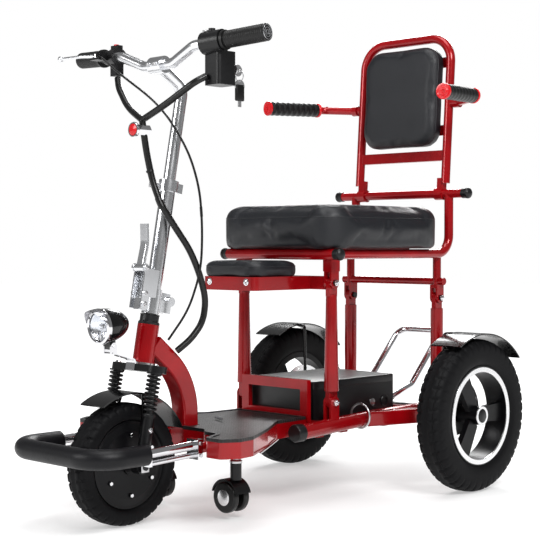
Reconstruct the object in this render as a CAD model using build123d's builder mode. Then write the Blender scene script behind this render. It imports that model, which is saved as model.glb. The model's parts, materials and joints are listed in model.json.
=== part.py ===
from build123d import *
import math
import os

os.makedirs("parts", exist_ok=True)

# A folding three-wheeled mobility scooter. Millimetres, +Z up, facing -Y,
# the rider's left is +X. The origin is on the floor, midway along and across.

# ---- driving dimensions ------------------------------------------------------
rear_tyre_r = 178.0
rear_tyre_w = 68.0
front_tyre_r = 126.0
front_tyre_w = 60.0
wheelbase = 813.0
track = 577.0
nose = 192.5  # bumper face, ahead of the front axle
front_reach = wheelbase + nose
handle_reach = 178.0  # rear lifting handle, behind the rear axle
handle_r = 8.0
rear_reach = handle_reach + handle_r
rake = 10.8  # steering axis, degrees back from upright
fork_offset = 17.0  # front axle, ahead of the steering axis

run_fit = 0.05  # radial clearance of a pin or shaft that turns
slip = 0.3  # gap between faces that pass each other

rear_y = (front_reach - rear_reach) / 2
front_y = rear_y - wheelbase

# ---- the steering axis and its stations, measured along it -------------------
rake_rad = math.radians(rake)
steer_foot = Vector(
    0,
    front_y + fork_offset * math.cos(rake_rad),
    front_tyre_r - fork_offset * math.sin(rake_rad),
)
steer = Plane(
    origin=steer_foot,
    x_dir=(1, 0, 0),
    z_dir=(0, math.sin(rake_rad), math.cos(rake_rad)),
)
crown_z = 192.0
crown_t = 14.0
head_z = 211.0
head_len = 80.0
headset_t = 22.0
base_z = head_z + head_len + headset_t + 1.0
base_len = 32.0
sleeve_len = 20.0
stem_len = 250.0
clamp_len = 24.0
quill_len = 185.0

head_r = 23.0
steerer_r = 13.0
base_r = 19.0
stem_r = 16.0
stem_wall = 3.0
quill_r = stem_r - stem_wall - run_fit

# ---- frame stations ----------------------------------------------------------
arch_y = front_y + 173.0
rail_x = 139.0
rail_r = 17.0
rail_front_y = arch_y + 200.0
rail_front_z = 164.0
axle_z = rear_tyre_r
axle_r = 8.0
axle_tube_r = 12.0
axle_tube_half = 226.0
axle_boss_x = 222.0  # end plates that carry the axle
spine_w = 50.0
spine_top = 181.0
spine_h = 34.0
arch_w = 42.0
cross_y = rear_y - 360.0

deck_top = 185.0
deck_sheet = 3.0
deck_skirt = 33.0
mat_t = 5.0
rim_t = 9.0

case_w = 208.0
case_front_y = rear_y - 347.0
case_len = 285.0
case_z = 156.5
case_h = 108.0
case_wall = 3.0

# ---- the seat's folding parallelogram ----------------------------------------
leg_x = 139.0
front_leg_y = rear_y - 324.0
rear_leg_y = rear_y + 64.0
leg_len = 268.0
front_pivot_z = 222.0
rear_pivot_z = axle_z
lug_t = 12.0
lug_r = 14.0
ear_t = 5.0
pin_r = 4.0

seat_z = 554.0
seat_tube_r = 11.0
seat_front_r = 12.5
seat_top = seat_z + seat_front_r
seat_front_y = rear_y - 345.0
seat_front_half = 169.0
seat_side_x = 150.0
back_y = rear_y + 97.0
back_z = 701.0
back_half = 193.0
recline = 4.0
back_tube_x = 138.0
back_top = 390.0  # along the recline, from its hinge

cushion_w = 390.0
cushion_len = 438.0
cushion_h = 97.0
cushion_z = seat_top
cushion_front_y = rear_y - 388.0


# ---- helpers -----------------------------------------------------------------
def on_frame(x, behind_axle, z):
    """A point given across, behind the rear axle, and above the floor."""
    return Vector(x, rear_y + behind_axle, z)


def on_front(x, behind, z):
    """A point given across, behind the front axle, and above the floor."""
    return Vector(x, front_y + behind, z)


def on_steer(x, back, along):
    """A point given across, behind and along the steering axis."""
    return steer.from_local_coords(Vector(x, back, along))


def route(points, bends):
    """Straight runs through the points, joined by tangent arcs."""
    with BuildLine() as line:
        if bends:
            FilletPolyline(*points, radius=bends)
        else:
            Polyline(*points)
    return line.line


def rod(points, radius, bends=None, mode=Mode.ADD):
    """A round bar or, subtracted, a round bore along a route."""
    path = route(points, bends)
    with BuildSketch(Plane(origin=path @ 0, z_dir=path % 0)) as section:
        Circle(radius)
    sweep(sections=section.sketch, path=path, mode=mode)


def tube(points, radius, wall, bends=None):
    """A hollow round tube along a route."""
    path = route(points, bends)
    with BuildSketch(Plane(origin=path @ 0, z_dir=path % 0)) as section:
        Circle(radius)
        Circle(radius - wall, mode=Mode.SUBTRACT)
    sweep(sections=section.sketch, path=path)


def block(low, high, mode=Mode.ADD):
    """A box between two opposite corners."""
    size = Vector(*high) - Vector(*low)
    with Locations((Vector(*low) + Vector(*high)) * 0.5):
        Box(size.X, size.Y, size.Z, mode=mode)


def disc_x(centre, radius, thick, mode=Mode.ADD):
    """A disc whose axis is X, centred on a point."""
    with Locations(Location(centre, (0, 90, 0))):
        Cylinder(radius, thick, mode=mode)


def spun_x(centre, outline, mode=Mode.ADD):
    """Turn an outline of (along X, radius) points about X through a centre."""
    plane = Plane(origin=centre, x_dir=(1, 0, 0), z_dir=(0, -1, 0))
    with BuildSketch(plane) as half:
        with BuildLine():
            Polyline(*outline, close=True)
        make_face()
    revolve(half.sketch, axis=Axis(centre, (1, 0, 0)), mode=mode)


def spun_on_steer(outline, mode=Mode.ADD):
    """Turn an outline of (radius, along) points about the steering axis."""
    plane = Plane(origin=steer_foot, x_dir=(1, 0, 0), z_dir=-steer.y_dir)
    with BuildSketch(plane) as half:
        with BuildLine():
            Polyline(*outline, close=True)
        make_face()
    revolve(half.sketch, axis=Axis(steer_foot, steer.z_dir), mode=mode)


def save(piece, name):
    """Label a finished piece and write its STEP file."""
    piece.part.label = name
    export_step(piece.part, f"parts/{name}.step")


def cable_bends(name, points):
    """The largest arc that each corner of a cable's route allows."""
    radii = []
    for a, b, c in zip(points, points[1:], points[2:]):
        turn = (b - a).get_angle(c - b)
        run = min((b - a).length, (c - b).length)
        radii.append(0.45 * run / math.tan(math.radians(turn) / 2))
    print(name, "smallest bend radius", round(min(radii), 1), "mm")
    return radii


def cable(name, points, radius):
    """A cable held along its whole route."""
    points = [Vector(*p) for p in points]
    rod(points, radius, cable_bends(name, points))


# ---- rear wheels -------------------------------------------------------------
rim_lip_r = 116.0
rim_barrel_r = 110.0
rim_barrel_wall = 8.0
rim_half = 28.0
spoke_count = 3
spoke_w = 44.0
hub_r = 22.0
bead_r = 111.0


def build_tyre(centre, radius, bead, width, corner):
    """A tyre of rounded section with an open bead."""
    plane = Plane(origin=centre, x_dir=(1, 0, 0), z_dir=(0, -1, 0))
    height = radius - bead
    wall = 8.0
    with BuildPart() as tyre:
        with BuildSketch(plane) as section:
            with Locations((0, bead + height / 2)):
                RectangleRounded(width, height, corner)
            with Locations((0, bead + height / 2 - wall / 2)):
                inner_r = min(corner - wall, (height - wall) / 2 - 1)
                RectangleRounded(width - 2 * wall, height - wall + 1, inner_r, mode=Mode.SUBTRACT)
        revolve(section.sketch, axis=Axis(centre, (1, 0, 0)))
    return tyre


def build_rear_rim(centre, side):
    """A rim with a deep barrel, three wide spokes and a closed outer hub."""
    with BuildPart() as rim:
        spun_x(centre, [
            (-rim_half, rim_lip_r), (-rim_half, rim_barrel_r - rim_barrel_wall),
            (rim_half, rim_barrel_r - rim_barrel_wall), (rim_half, rim_lip_r),
            (rim_half - 4, rim_lip_r), (rim_half - 4, rim_barrel_r),
            (-rim_half + 4, rim_barrel_r), (-rim_half + 4, rim_lip_r),
        ])
        hub_mid = centre + Vector(side * 3, 0, 0)
        disc_x(hub_mid, hub_r, 54)
        spoke_plane = Plane(origin=centre + Vector(side * 8, 0, 0), x_dir=(0, 1, 0), z_dir=(1, 0, 0))
        with BuildSketch(spoke_plane) as spokes:
            with PolarLocations(0, spoke_count):
                with Locations(((hub_r + rim_barrel_r - rim_barrel_wall) / 2, 0)):
                    Trapezoid(spoke_w, rim_barrel_r - hub_r - 4, 86.5, rotation=90)
        extrude(spokes.sketch, amount=7, both=True)
        bore_mid = centre + Vector(-side * 4, 0, 0)
        disc_x(bore_mid, axle_r + run_fit, 60, mode=Mode.SUBTRACT)
    return rim


for side, name in ((1, "left"), (-1, "right")):
    hub = Vector(side * track / 2, rear_y, axle_z)
    rear_tyre = build_tyre(hub, rear_tyre_r, bead_r, rear_tyre_w, 28)
    save(rear_tyre, f"rear_tyre_{name}")
    rear_rim = build_rear_rim(hub, side)
    save(rear_rim, f"rear_rim_{name}")

# ---- rear axle: a cross tube with a stub shaft for each wheel ----------------
with BuildPart() as rear_axle:
    disc_x(Vector(0, rear_y, axle_z), axle_tube_r, 2 * axle_tube_half)
    disc_x(Vector(0, rear_y, axle_z), axle_r, track + 2 * 22)
save(rear_axle, "rear_axle")

# ---- rear fenders with their stays -------------------------------------------
fender_gap = 11.0
fender_t = 3.0
fender_w = 84.0
fender_front_deg = 120.0  # ends of the rear fenders, from straight back
fender_rear_deg = 42.0
front_fender_gap = 20.0


def fender_shell(centre, radius, width, front_deg, rear_deg):
    """An arched mudguard over a wheel, between two angles from straight back."""
    plane = Plane(origin=centre, x_dir=(0, 1, 0), z_dir=(1, 0, 0))
    with BuildSketch(plane) as arch:
        with BuildLine():
            outer = CenterArc((0, 0), radius + fender_t, rear_deg, front_deg - rear_deg)
            inner = CenterArc((0, 0), radius, rear_deg, front_deg - rear_deg)
            Line(outer @ 0, inner @ 0)
            Line(outer @ 1, inner @ 1)
        make_face()
    extrude(arch.sketch, amount=width / 2, both=True)


with BuildPart() as rear_fenders:
    for side in (1, -1):
        fender_x = side * (track / 2 - 3)
        fender_shell(Vector(fender_x, rear_y, axle_z), rear_tyre_r + fender_gap, fender_w,
                     fender_front_deg, fender_rear_deg)
        stay_top = Vector(side * (track / 2 - 40), rear_y - 20, axle_z + rear_tyre_r + 10)
        block(stay_top - Vector(5, 12, 0), stay_top + Vector(5, 12, 3))
        stay = [
            stay_top + Vector(0, 0, 1),
            stay_top + Vector(-side * 24, 0, -1),
            Vector(side * axle_boss_x, rear_y - 20, axle_z + 24),
        ]
        rod(stay, 4, [8])
save(rear_fenders, "rear_fenders")

# ---- front wheel: a hub motor inside its tyre --------------------------------
front_hub = Vector(0, front_y, front_tyre_r)
motor_r = 89.0
motor_half = 27.0
front_axle_r = 6.0
front_tyre = build_tyre(front_hub, front_tyre_r, motor_r, front_tyre_w, 17)
save(front_tyre, "front_tyre")

with BuildPart() as hub_motor:
    spun_x(front_hub, [
        (-motor_half, 0), (-motor_half, 70), (-motor_half + 4, 84), (-motor_half + 4, motor_r + 1),
        (-motor_half + 8, motor_r + 1), (-motor_half + 8, motor_r), (motor_half - 8, motor_r),
        (motor_half - 8, motor_r + 1), (motor_half - 4, motor_r + 1), (motor_half - 4, 84),
        (motor_half, 70), (motor_half, 0),
    ])
    disc_x(front_hub, 20, 2 * motor_half + 8)
    disc_x(front_hub, front_axle_r + run_fit, 80, mode=Mode.SUBTRACT)
    for face in (1, -1):
        face_plane = Plane(origin=front_hub + Vector(face * motor_half, 0, 0), x_dir=(0, 1, 0), z_dir=(face, 0, 0))
        with BuildSketch(face_plane) as bolts:
            with PolarLocations(62, 6, start_angle=30):
                RegularPolygon(5, 6)
        extrude(bolts.sketch, amount=3)
save(hub_motor, "hub_motor")

# ---- front fork --------------------------------------------------------------
leg_spread = 60.0
stanchion_r = 8.0
slider_r = 13.0
slider_top = 108.0
spring_r = 15.0
spring_wire = 2.5
spring_turns = 9

with BuildPart() as fork_crown:
    with BuildSketch(steer.offset(crown_z)) as plate:
        with Locations((0, -fork_offset / 2)):
            SlotOverall(2 * leg_spread + 32, 44)
    extrude(plate.sketch, amount=crown_t)
    rod([on_steer(0, 0, crown_z + 4), on_steer(0, 0, base_z + 6)], steerer_r)
    for side in (1, -1):
        rod([on_steer(side * leg_spread, -fork_offset, crown_z + 4),
             on_steer(side * leg_spread, -fork_offset, 62)], stanchion_r)
save(fork_crown, "fork_crown")

with BuildPart() as fork_springs:
    for side in (1, -1):
        seat_low = slider_top + spring_wire + slip
        free = crown_z - spring_wire - slip - seat_low
        coil_origin = on_steer(side * leg_spread, -fork_offset, seat_low)
        with BuildLine() as coil:
            Helix(free / spring_turns, free, spring_r - spring_wire, center=coil_origin, direction=steer.z_dir)
        with BuildSketch(Plane(origin=coil.line @ 0, z_dir=coil.line % 0)) as wire:
            Circle(spring_wire)
        sweep(sections=wire.sketch, path=coil.line, is_frenet=True)
save(fork_springs, "fork_springs")

with BuildPart() as fork_sliders:
    for side in (1, -1):
        leg_at = side * leg_spread
        rod([on_steer(leg_at, -fork_offset, slider_top), on_steer(leg_at, -fork_offset, 10)], slider_r)
        lug_plane = Plane(origin=front_hub + Vector(side * 44, 0, 0), x_dir=(0, 1, 0), z_dir=(side, 0, 0))
        with BuildSketch(lug_plane) as lug:
            Circle(15)
        extrude(lug.sketch, amount=22)
        rod([on_steer(leg_at, -fork_offset, slider_top + 1), on_steer(leg_at, -fork_offset, 18)],
            stanchion_r + run_fit, mode=Mode.SUBTRACT)
    disc_x(front_hub, front_axle_r, 2 * 76)
    for side in (1, -1):
        nut_plane = Plane(origin=front_hub + Vector(side * 66, 0, 0), x_dir=(0, 1, 0), z_dir=(side, 0, 0))
        with BuildSketch(nut_plane) as nut:
            RegularPolygon(10, 6)
        extrude(nut.sketch, amount=6)
save(fork_sliders, "fork_sliders")

with BuildPart() as front_fender:
    fender_shell(front_hub, front_tyre_r + front_fender_gap, 74, 122, 26)
    stay_r = 3.5
    stay_x = leg_spread - slider_r - stay_r
    for side in (1, -1):
        stay_top = on_steer(side * 34, -fork_offset, front_tyre_r + 21)
        stay_mid = on_steer(side * stay_x, -fork_offset, slider_top - 10)
        stay_low = on_steer(side * stay_x, -fork_offset, slider_top - 45)
        rod([stay_top, stay_mid, stay_low], stay_r, [30])
save(front_fender, "front_fender")

# ---- main frame --------------------------------------------------------------
arch_start = on_steer(0, 12, head_z + 40)
arch_bend = 150.0


def box_run(points, width, height, corner, bends=None):
    """A rectangular tube's outside along a route in the YZ plane."""
    path = route(points, bends)
    section_plane = Plane(origin=path @ 0, x_dir=(1, 0, 0), z_dir=path % 0)
    with BuildSketch(section_plane) as section:
        RectangleRounded(width, height, corner)
    sweep(sections=section.sketch, path=path)


with BuildPart() as main_frame:
    rod([on_steer(0, 0, head_z), on_steer(0, 0, head_z + head_len)], head_r)
    box_run([arch_start, Vector(0, arch_y, 285), Vector(0, arch_y, spine_top - 4)], arch_w, arch_w, 5, [arch_bend])
    rod([on_steer(0, 0, head_z - 2), on_steer(0, 0, head_z + head_len + 2)], steerer_r + 2, mode=Mode.SUBTRACT)
    block((-spine_w / 2, arch_y - 22, spine_top - spine_h), (spine_w / 2, cross_y, spine_top))
    block((-rail_x, cross_y - 11, spine_top - spine_h), (rail_x, cross_y + 11, spine_top))
    block((-rail_x, rear_y - 54, axle_z - 16), (rail_x, rear_y - 36, axle_z + 12))
    for strap_y in (rear_y - 280, rear_y - 130):
        block((-rail_x, strap_y - 12, case_z - 6), (rail_x, strap_y + 12, case_z))
        for side in (1, -1):
            block((side * 130 - 8, strap_y - 12, case_z - 6), (side * 130 + 8, strap_y + 12, case_z + 14))
    frame_w = 104.0
    frame_low = spine_top - 2
    frame_high = 272.0
    border = 22.0
    block((-frame_w, cross_y - 6, frame_low), (frame_w, cross_y + 6, frame_high))
    block((-frame_w + border, cross_y - 8, frame_low + border), (frame_w - border, cross_y + 8, frame_high - border),
          mode=Mode.SUBTRACT)
    for side in (1, -1):
        rail_path = [
            Vector(side * rail_x, rail_front_y, rail_front_z),
            Vector(side * rail_x, rear_y - 200, axle_z - 3),
            Vector(side * rail_x, rear_y + 34, axle_z),
        ]
        rod(rail_path, rail_r, [200])
        arm_path = [Vector(side * (rail_x + 2), rear_y - 205, axle_z - 4), Vector(side * 230, rear_y - 12, axle_z)]
        arm = route(arm_path, None)
        with BuildSketch(Plane(origin=arm @ 0, x_dir=(0, 0, 1), z_dir=arm % 0)) as arm_section:
            RectangleRounded(34, 30, 5)
        sweep(sections=arm_section.sketch, path=arm)
        disc_x(Vector(side * axle_boss_x, rear_y, axle_z), 24, 16)
        for ear_side in (1, -1):
            ear_mid = side * leg_x + ear_side * (lug_t / 2 + slip + ear_t / 2)
            block((ear_mid - ear_t / 2, front_leg_y - 14, rail_front_z), (ear_mid + ear_t / 2, front_leg_y + 14, front_pivot_z))
            disc_x(Vector(ear_mid, front_leg_y, front_pivot_z), 14, ear_t)
            block((ear_mid - ear_t / 2, rear_y + 20, axle_z - 14), (ear_mid + ear_t / 2, rear_leg_y, axle_z + 14))
            disc_x(Vector(ear_mid, rear_leg_y, rear_pivot_z), 14, ear_t)
        disc_x(Vector(side * leg_x, front_leg_y, front_pivot_z), pin_r + run_fit, 40, mode=Mode.SUBTRACT)
        disc_x(Vector(side * leg_x, rear_leg_y, rear_pivot_z), pin_r + run_fit, 40, mode=Mode.SUBTRACT)
    outrigger = [
        Vector(-rail_x, arch_y - 92, 164), Vector(-rail_x, arch_y, 164),
        Vector(rail_x, arch_y, 164), Vector(rail_x, arch_y - 92, 164),
    ]
    rod(outrigger, 11, [30, 30])
    disc_x(Vector(0, rear_y, axle_z), axle_tube_r + run_fit, 2 * axle_tube_half, mode=Mode.SUBTRACT)
    disc_x(Vector(0, rear_y, axle_z), axle_r + run_fit, track, mode=Mode.SUBTRACT)
save(main_frame, "main_frame")


# ---- deck --------------------------------------------------------------------
caster_x = 130.0
caster_y = arch_y + 26.0
caster_stem_r = 5.0
deck_front_y = arch_y - 110.0
deck_rear_y = cross_y - 13.0
wing_x = 246.0
arch_slot = arch_w / 2 + 2


def deck_outline(inset):
    """Half of the butterfly-shaped deck, from the notch in front of the arch."""
    with BuildSketch() as outline:
        with BuildLine():
            Polyline(
                (0, arch_y - 28), (92, arch_y - 28), (118, arch_y - 52), (160, arch_y - 58), (182, deck_front_y),
                (wing_x - 20, deck_front_y), (wing_x, arch_y - 75), (wing_x - 6, arch_y - 32), (wing_x - 70, arch_y + 75),
                (case_w / 2 + 8, arch_y + 168), (case_w / 2 + 2, deck_rear_y), (0, deck_rear_y), close=True,
            )
        make_face()
        mirror(about=Plane.YZ)
        fillet(outline.vertices().filter_by_position(Axis.Y, deck_front_y - 1, rail_front_y), radius=12)
        if inset:
            offset(amount=-inset, kind=Kind.INTERSECTION, mode=Mode.REPLACE)
    return outline.sketch


deck_face = deck_outline(0)
deck_inner = deck_outline(deck_sheet)
mat_inner = deck_outline(rim_t)

with BuildPart() as deck_pan:
    with BuildSketch(Plane.XY.offset(deck_top - deck_skirt)) as pan_out:
        add(deck_face)
    extrude(pan_out.sketch, amount=deck_skirt)
    with BuildSketch(Plane.XY.offset(deck_top - deck_skirt)) as pan_in:
        add(deck_inner)
    extrude(pan_in.sketch, amount=deck_skirt - deck_sheet, mode=Mode.SUBTRACT)
    block((-arch_slot, deck_front_y, 0), (arch_slot, arch_y + arch_slot, deck_top + 1), mode=Mode.SUBTRACT)
    block((-spine_w / 2 - 2, deck_front_y, 0), (spine_w / 2 + 2, rear_y, spine_top + 0.5), mode=Mode.SUBTRACT)
    for side in (1, -1):
        block((side * rail_x - 15, deck_front_y, 0), (side * rail_x + 15, arch_y - 40, 180), mode=Mode.SUBTRACT)
        boss_at = Vector(side * caster_x, caster_y, deck_top - deck_sheet - 8)
        with Locations(boss_at):
            Cylinder(18, 16)
            Cylinder(caster_stem_r + run_fit, 40, mode=Mode.SUBTRACT)
save(deck_pan, "deck_pan")

with BuildPart() as deck_mat:
    with BuildSketch(Plane.XY.offset(deck_top)) as mat_out:
        add(deck_face)
    extrude(mat_out.sketch, amount=mat_t)
    with BuildSketch(Plane.XY.offset(deck_top + mat_t)) as rim_ring:
        add(deck_face)
        add(mat_inner, mode=Mode.SUBTRACT)
    extrude(rim_ring.sketch, amount=2)
    block((-arch_slot, deck_front_y, 0), (arch_slot, arch_y + arch_slot, deck_top + 20), mode=Mode.SUBTRACT)
save(deck_mat, "deck_mat")

# ---- battery case between the rails ------------------------------------------
case_low = (-case_w / 2, case_front_y + 1.5, case_z)
case_high = (case_w / 2, case_front_y + case_len, case_z + case_h)
with BuildPart() as battery_case:
    block(case_low, case_high)
    block(Vector(*case_low) + Vector(case_wall, case_wall, case_wall),
          Vector(*case_high) - Vector(case_wall, case_wall, case_wall), mode=Mode.SUBTRACT)
save(battery_case, "battery_case")

with BuildPart() as battery_pack:
    block(Vector(*case_low) + Vector(12, 20, case_wall), Vector(*case_high) - Vector(12, 80, case_wall + 12))
save(battery_pack, "battery_pack")

# ---- bumper ------------------------------------------------------------------
foam_r = 20.5
bumper_y = front_y - nose + foam_r
bumper_z = 165.0
foam_bend = 60.0
bracket_y = arch_y - 105.0
upper_r = 9.5


def upper_run(side):
    """The straight upper tube of the bumper, from inside the foam to its bracket."""
    return [Vector(side * rail_x, bumper_y + 95, bumper_z), Vector(side * rail_x, bracket_y + 10, bumper_z + 6)]


with BuildPart() as bumper_foam:
    u_path = [
        Vector(-rail_x, bumper_y + 117, bumper_z), Vector(-rail_x, bumper_y, bumper_z),
        Vector(rail_x, bumper_y, bumper_z), Vector(rail_x, bumper_y + 117, bumper_z),
    ]
    rod(u_path, foam_r, [foam_bend, foam_bend])
    for side in (1, -1):
        rod(upper_run(side), upper_r, mode=Mode.SUBTRACT)
save(bumper_foam, "bumper_foam")

with BuildPart() as bumper_tubes:
    for side in (1, -1):
        rod(upper_run(side), upper_r)
        low_front = Vector(side * rail_x, bumper_y + 121, bumper_z - 18)
        low_back = Vector(side * rail_x, bracket_y + 10, bumper_z - 13)
        rod([low_front, low_back], 5.5)
        block((side * rail_x - 8, bumper_y + 119, bumper_z - 23.5), (side * rail_x + 8, bumper_y + 127, bumper_z))
        block((side * rail_x - 17, bracket_y, bumper_z - 22), (side * rail_x + 17, arch_y - 92, bumper_z + 19))
save(bumper_tubes, "bumper_tubes")

# ---- rear lifting handle -----------------------------------------------------
with BuildPart() as rear_handle:
    handle_path = [
        Vector(-68, rear_y - 45, axle_z + 20), Vector(-68, rear_y + 55, axle_z + 50),
        Vector(-68, rear_y + handle_reach, axle_z + 178), Vector(68, rear_y + handle_reach, axle_z + 178),
        Vector(68, rear_y + 55, axle_z + 50), Vector(68, rear_y - 45, axle_z + 20),
    ]
    rod(handle_path, handle_r, [30, 28, 28, 30])
    for side in (1, -1):
        block((side * 68 - 10, rear_y - 54, axle_z + 12.2), (side * 68 + 10, rear_y - 36, axle_z + 22))
save(rear_handle, "rear_handle")

# ---- fasteners of the frame: pivot pins and U-bolts --------------------------
# and the bearing races above and below the head tube
ring_r = 28.0
ring_wire = 2.5
with BuildPart() as frame_fasteners:
    for race_low, race_high in (
        (crown_z + crown_t + slip, head_z), (head_z + head_len, head_z + head_len + headset_t),
    ):
        spun_on_steer([
            (steerer_r + 1, race_low), (18, race_low), (18, race_high), (steerer_r + 1, race_high),
        ])
    for side in (1, -1):
        for pin_y, pin_z in ((front_leg_y, front_pivot_z), (rear_leg_y, rear_pivot_z)):
            mid = Vector(side * leg_x, pin_y, pin_z)
            head = lug_t / 2 + slip + ear_t
            disc_x(mid, pin_r, 2 * head)
            disc_x(mid + Vector(head + 2.4, 0, 0), 7, 4.8)
            disc_x(mid - Vector(head + 2.4, 0, 0), 7, 4.8)
        ring_mid = Vector(side * rail_x, rear_y - 224, axle_z - 4.2 - rail_r - ring_wire + ring_r)
        with BuildSketch(Plane(origin=ring_mid + Vector(0, 0, ring_r), x_dir=(0, 1, 0), z_dir=(1, 0, 0))) as wire:
            Circle(ring_wire)
        revolve(wire.sketch, axis=Axis(ring_mid, (0, 1, 0)), revolution_arc=360)
save(frame_fasteners, "frame_fasteners")

# ---- casters -----------------------------------------------------------------
caster_wheel_r = 33.0
caster_clear = 14.0
caster_axle_z = caster_clear + caster_wheel_r
caster_trail = 14.0
hood_r = caster_wheel_r + 3
hood_t = 3.0
for side, name in ((1, "left"), (-1, "right")):
    stem_at = Vector(side * caster_x, caster_y, 0)
    hub_at = stem_at + Vector(-side * caster_trail, 0, caster_axle_z)
    with BuildPart() as caster_fork:
        rod([stem_at + Vector(0, 0, 96), stem_at + Vector(0, 0, deck_top - 0.5)], caster_stem_r)
        rod([stem_at + Vector(0, 0, caster_axle_z + hood_r + 1), stem_at + Vector(0, 0, 120)], 12)
        block(hub_at - Vector(8, 5, 9), hub_at + Vector(8, 5, hood_r + 1))
        hood_plane = Plane(origin=hub_at, x_dir=(1, 0, 0), z_dir=(0, -1, 0))
        with BuildSketch(hood_plane) as hood:
            with BuildLine():
                outer = CenterArc((0, 0), hood_r + hood_t, 15, 150)
                inner = CenterArc((0, 0), hood_r, 15, 150)
                Line(outer @ 0, inner @ 0)
                Line(outer @ 1, inner @ 1)
            make_face()
        extrude(hood.sketch, amount=21, both=True)
        with Locations(Location(hub_at, (90, 0, 0))):
            Cylinder(4 + run_fit, 40, mode=Mode.SUBTRACT)
    save(caster_fork, f"caster_fork_{name}")
    with BuildPart() as caster_wheel:
        with Locations(Location(hub_at, (90, 0, 0))):
            Cylinder(4, 46)
        for face in (1, -1):
            with Locations(Location(hub_at + Vector(0, face * 15, 0), (90, 0, 0))):
                Cylinder(caster_wheel_r, 16)
        fillet(caster_wheel.edges().filter_by(GeomType.CIRCLE).sort_by(lambda e: -e.radius)[0:4], radius=5)
    save(caster_wheel, f"caster_wheel_{name}")

# ---- seat legs ---------------------------------------------------------------


def leg(mid_x, y, low_z, r_low, r_high):
    """A tapered leg with a flat lug and a pin hole at each end."""
    tube_low = low_z + 26
    tube_high = low_z + leg_len - 26
    with BuildSketch(Plane.XY.offset(tube_low)) as foot:
        with Locations((mid_x, y)):
            Circle(r_low)
    with BuildSketch(Plane.XY.offset(tube_high)) as top:
        with Locations((mid_x, y)):
            Circle(r_high)
    loft(sections=[foot.sketch, top.sketch])
    for pivot_z, inward in ((low_z, 1), (low_z + leg_len, -1)):
        inner = pivot_z + inward * 30
        block((mid_x - lug_t / 2, y - lug_r + 1, min(pivot_z, inner)), (mid_x + lug_t / 2, y + lug_r - 1, max(pivot_z, inner)))
        disc_x(Vector(mid_x, y, pivot_z), lug_r - 1, lug_t)
        disc_x(Vector(mid_x, y, pivot_z), pin_r + run_fit, lug_t + 2, mode=Mode.SUBTRACT)


with BuildPart() as front_legs:
    for side in (1, -1):
        leg(side * leg_x, front_leg_y, front_pivot_z, 17.0, 12.5)
save(front_legs, "front_legs")

with BuildPart() as rear_legs:
    for side in (1, -1):
        leg(side * leg_x, rear_leg_y, rear_pivot_z, 15.5, 15.5)
save(rear_legs, "rear_legs")

# ---- seat frame --------------------------------------------------------------
front_top_z = front_pivot_z + leg_len
rear_top_z = rear_pivot_z + leg_len
with BuildPart() as seat_frame:
    rod([Vector(-seat_front_half, seat_front_y, seat_z), Vector(seat_front_half, seat_front_y, seat_z)], seat_front_r)
    rod([Vector(-back_half, back_y, back_z), Vector(back_half, back_y, back_z)], seat_tube_r)
    for x in (-60, 60):
        block((x - 15, seat_front_y, seat_top - 4), (x + 15, back_y - 60, seat_top))
    block((-seat_side_x, back_y - 74, seat_z - 6), (seat_side_x, back_y - 58, seat_top - 2))
    rod([Vector(-leg_x - 22, rear_leg_y, rear_top_z + 40), Vector(leg_x + 22, rear_leg_y, rear_top_z + 40)], 9)
    for side in (1, -1):
        side_path = [
            Vector(side * seat_side_x, seat_front_y, seat_z), Vector(side * seat_side_x, back_y, seat_z),
            Vector(side * seat_side_x, back_y, back_z),
        ]
        rod(side_path, seat_tube_r, [45])
        rod([Vector(side * leg_x, rear_leg_y, rear_top_z + 26), Vector(side * leg_x, rear_leg_y, seat_z)], 10)
        block((side * leg_x - 13, front_leg_y - 14, front_top_z + 26), (side * leg_x + 13, front_leg_y + 14, seat_z))
        for pivot_y, pivot_z in ((front_leg_y, front_top_z), (rear_leg_y, rear_top_z)):
            block((side * leg_x - 11.3, pivot_y - 13, pivot_z + 24), (side * leg_x + 11.3, pivot_y + 13, pivot_z + 32))
            for ear_side in (1, -1):
                ear_mid = side * leg_x + ear_side * (lug_t / 2 + slip + ear_t / 2)
                block((ear_mid - ear_t / 2, pivot_y - 13, pivot_z), (ear_mid + ear_t / 2, pivot_y + 13, pivot_z + 26))
                disc_x(Vector(ear_mid, pivot_y, pivot_z), 13, ear_t)
            disc_x(Vector(side * leg_x, pivot_y, pivot_z), pin_r + run_fit, 40, mode=Mode.SUBTRACT)
save(seat_frame, "seat_frame")

with BuildPart() as seat_fasteners:
    for side in (1, -1):
        for pivot_y, pivot_z in ((front_leg_y, front_top_z), (rear_leg_y, rear_top_z)):
            mid = Vector(side * leg_x, pivot_y, pivot_z)
            head = lug_t / 2 + slip + ear_t
            disc_x(mid, pin_r, 2 * head)
            disc_x(mid + Vector(side * (head + 2.4), 0, 0), 7, 4.8)
            if pivot_y != front_leg_y:
                disc_x(mid - Vector(side * (head + 2.4), 0, 0), 7, 4.8)
        for end_x, end_y, end_z, radius in (
            (seat_front_half, seat_front_y, seat_z, seat_front_r - 0.1), (back_half, back_y, back_z, 12.5),
        ):
            disc_x(Vector(side * (end_x + 6), end_y, end_z), radius, 12)
save(seat_fasteners, "seat_fasteners")

with BuildPart() as seat_cushion:
    with BuildSketch(Plane.XY.offset(cushion_z)) as pad:
        with Locations((0, cushion_front_y + cushion_len / 2)):
            RectangleRounded(cushion_w, cushion_len, 48)
    extrude(pad.sketch, amount=cushion_h)
    fillet(seat_cushion.edges().group_by(Axis.Z)[-1], radius=18)
save(seat_cushion, "seat_cushion")

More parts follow.
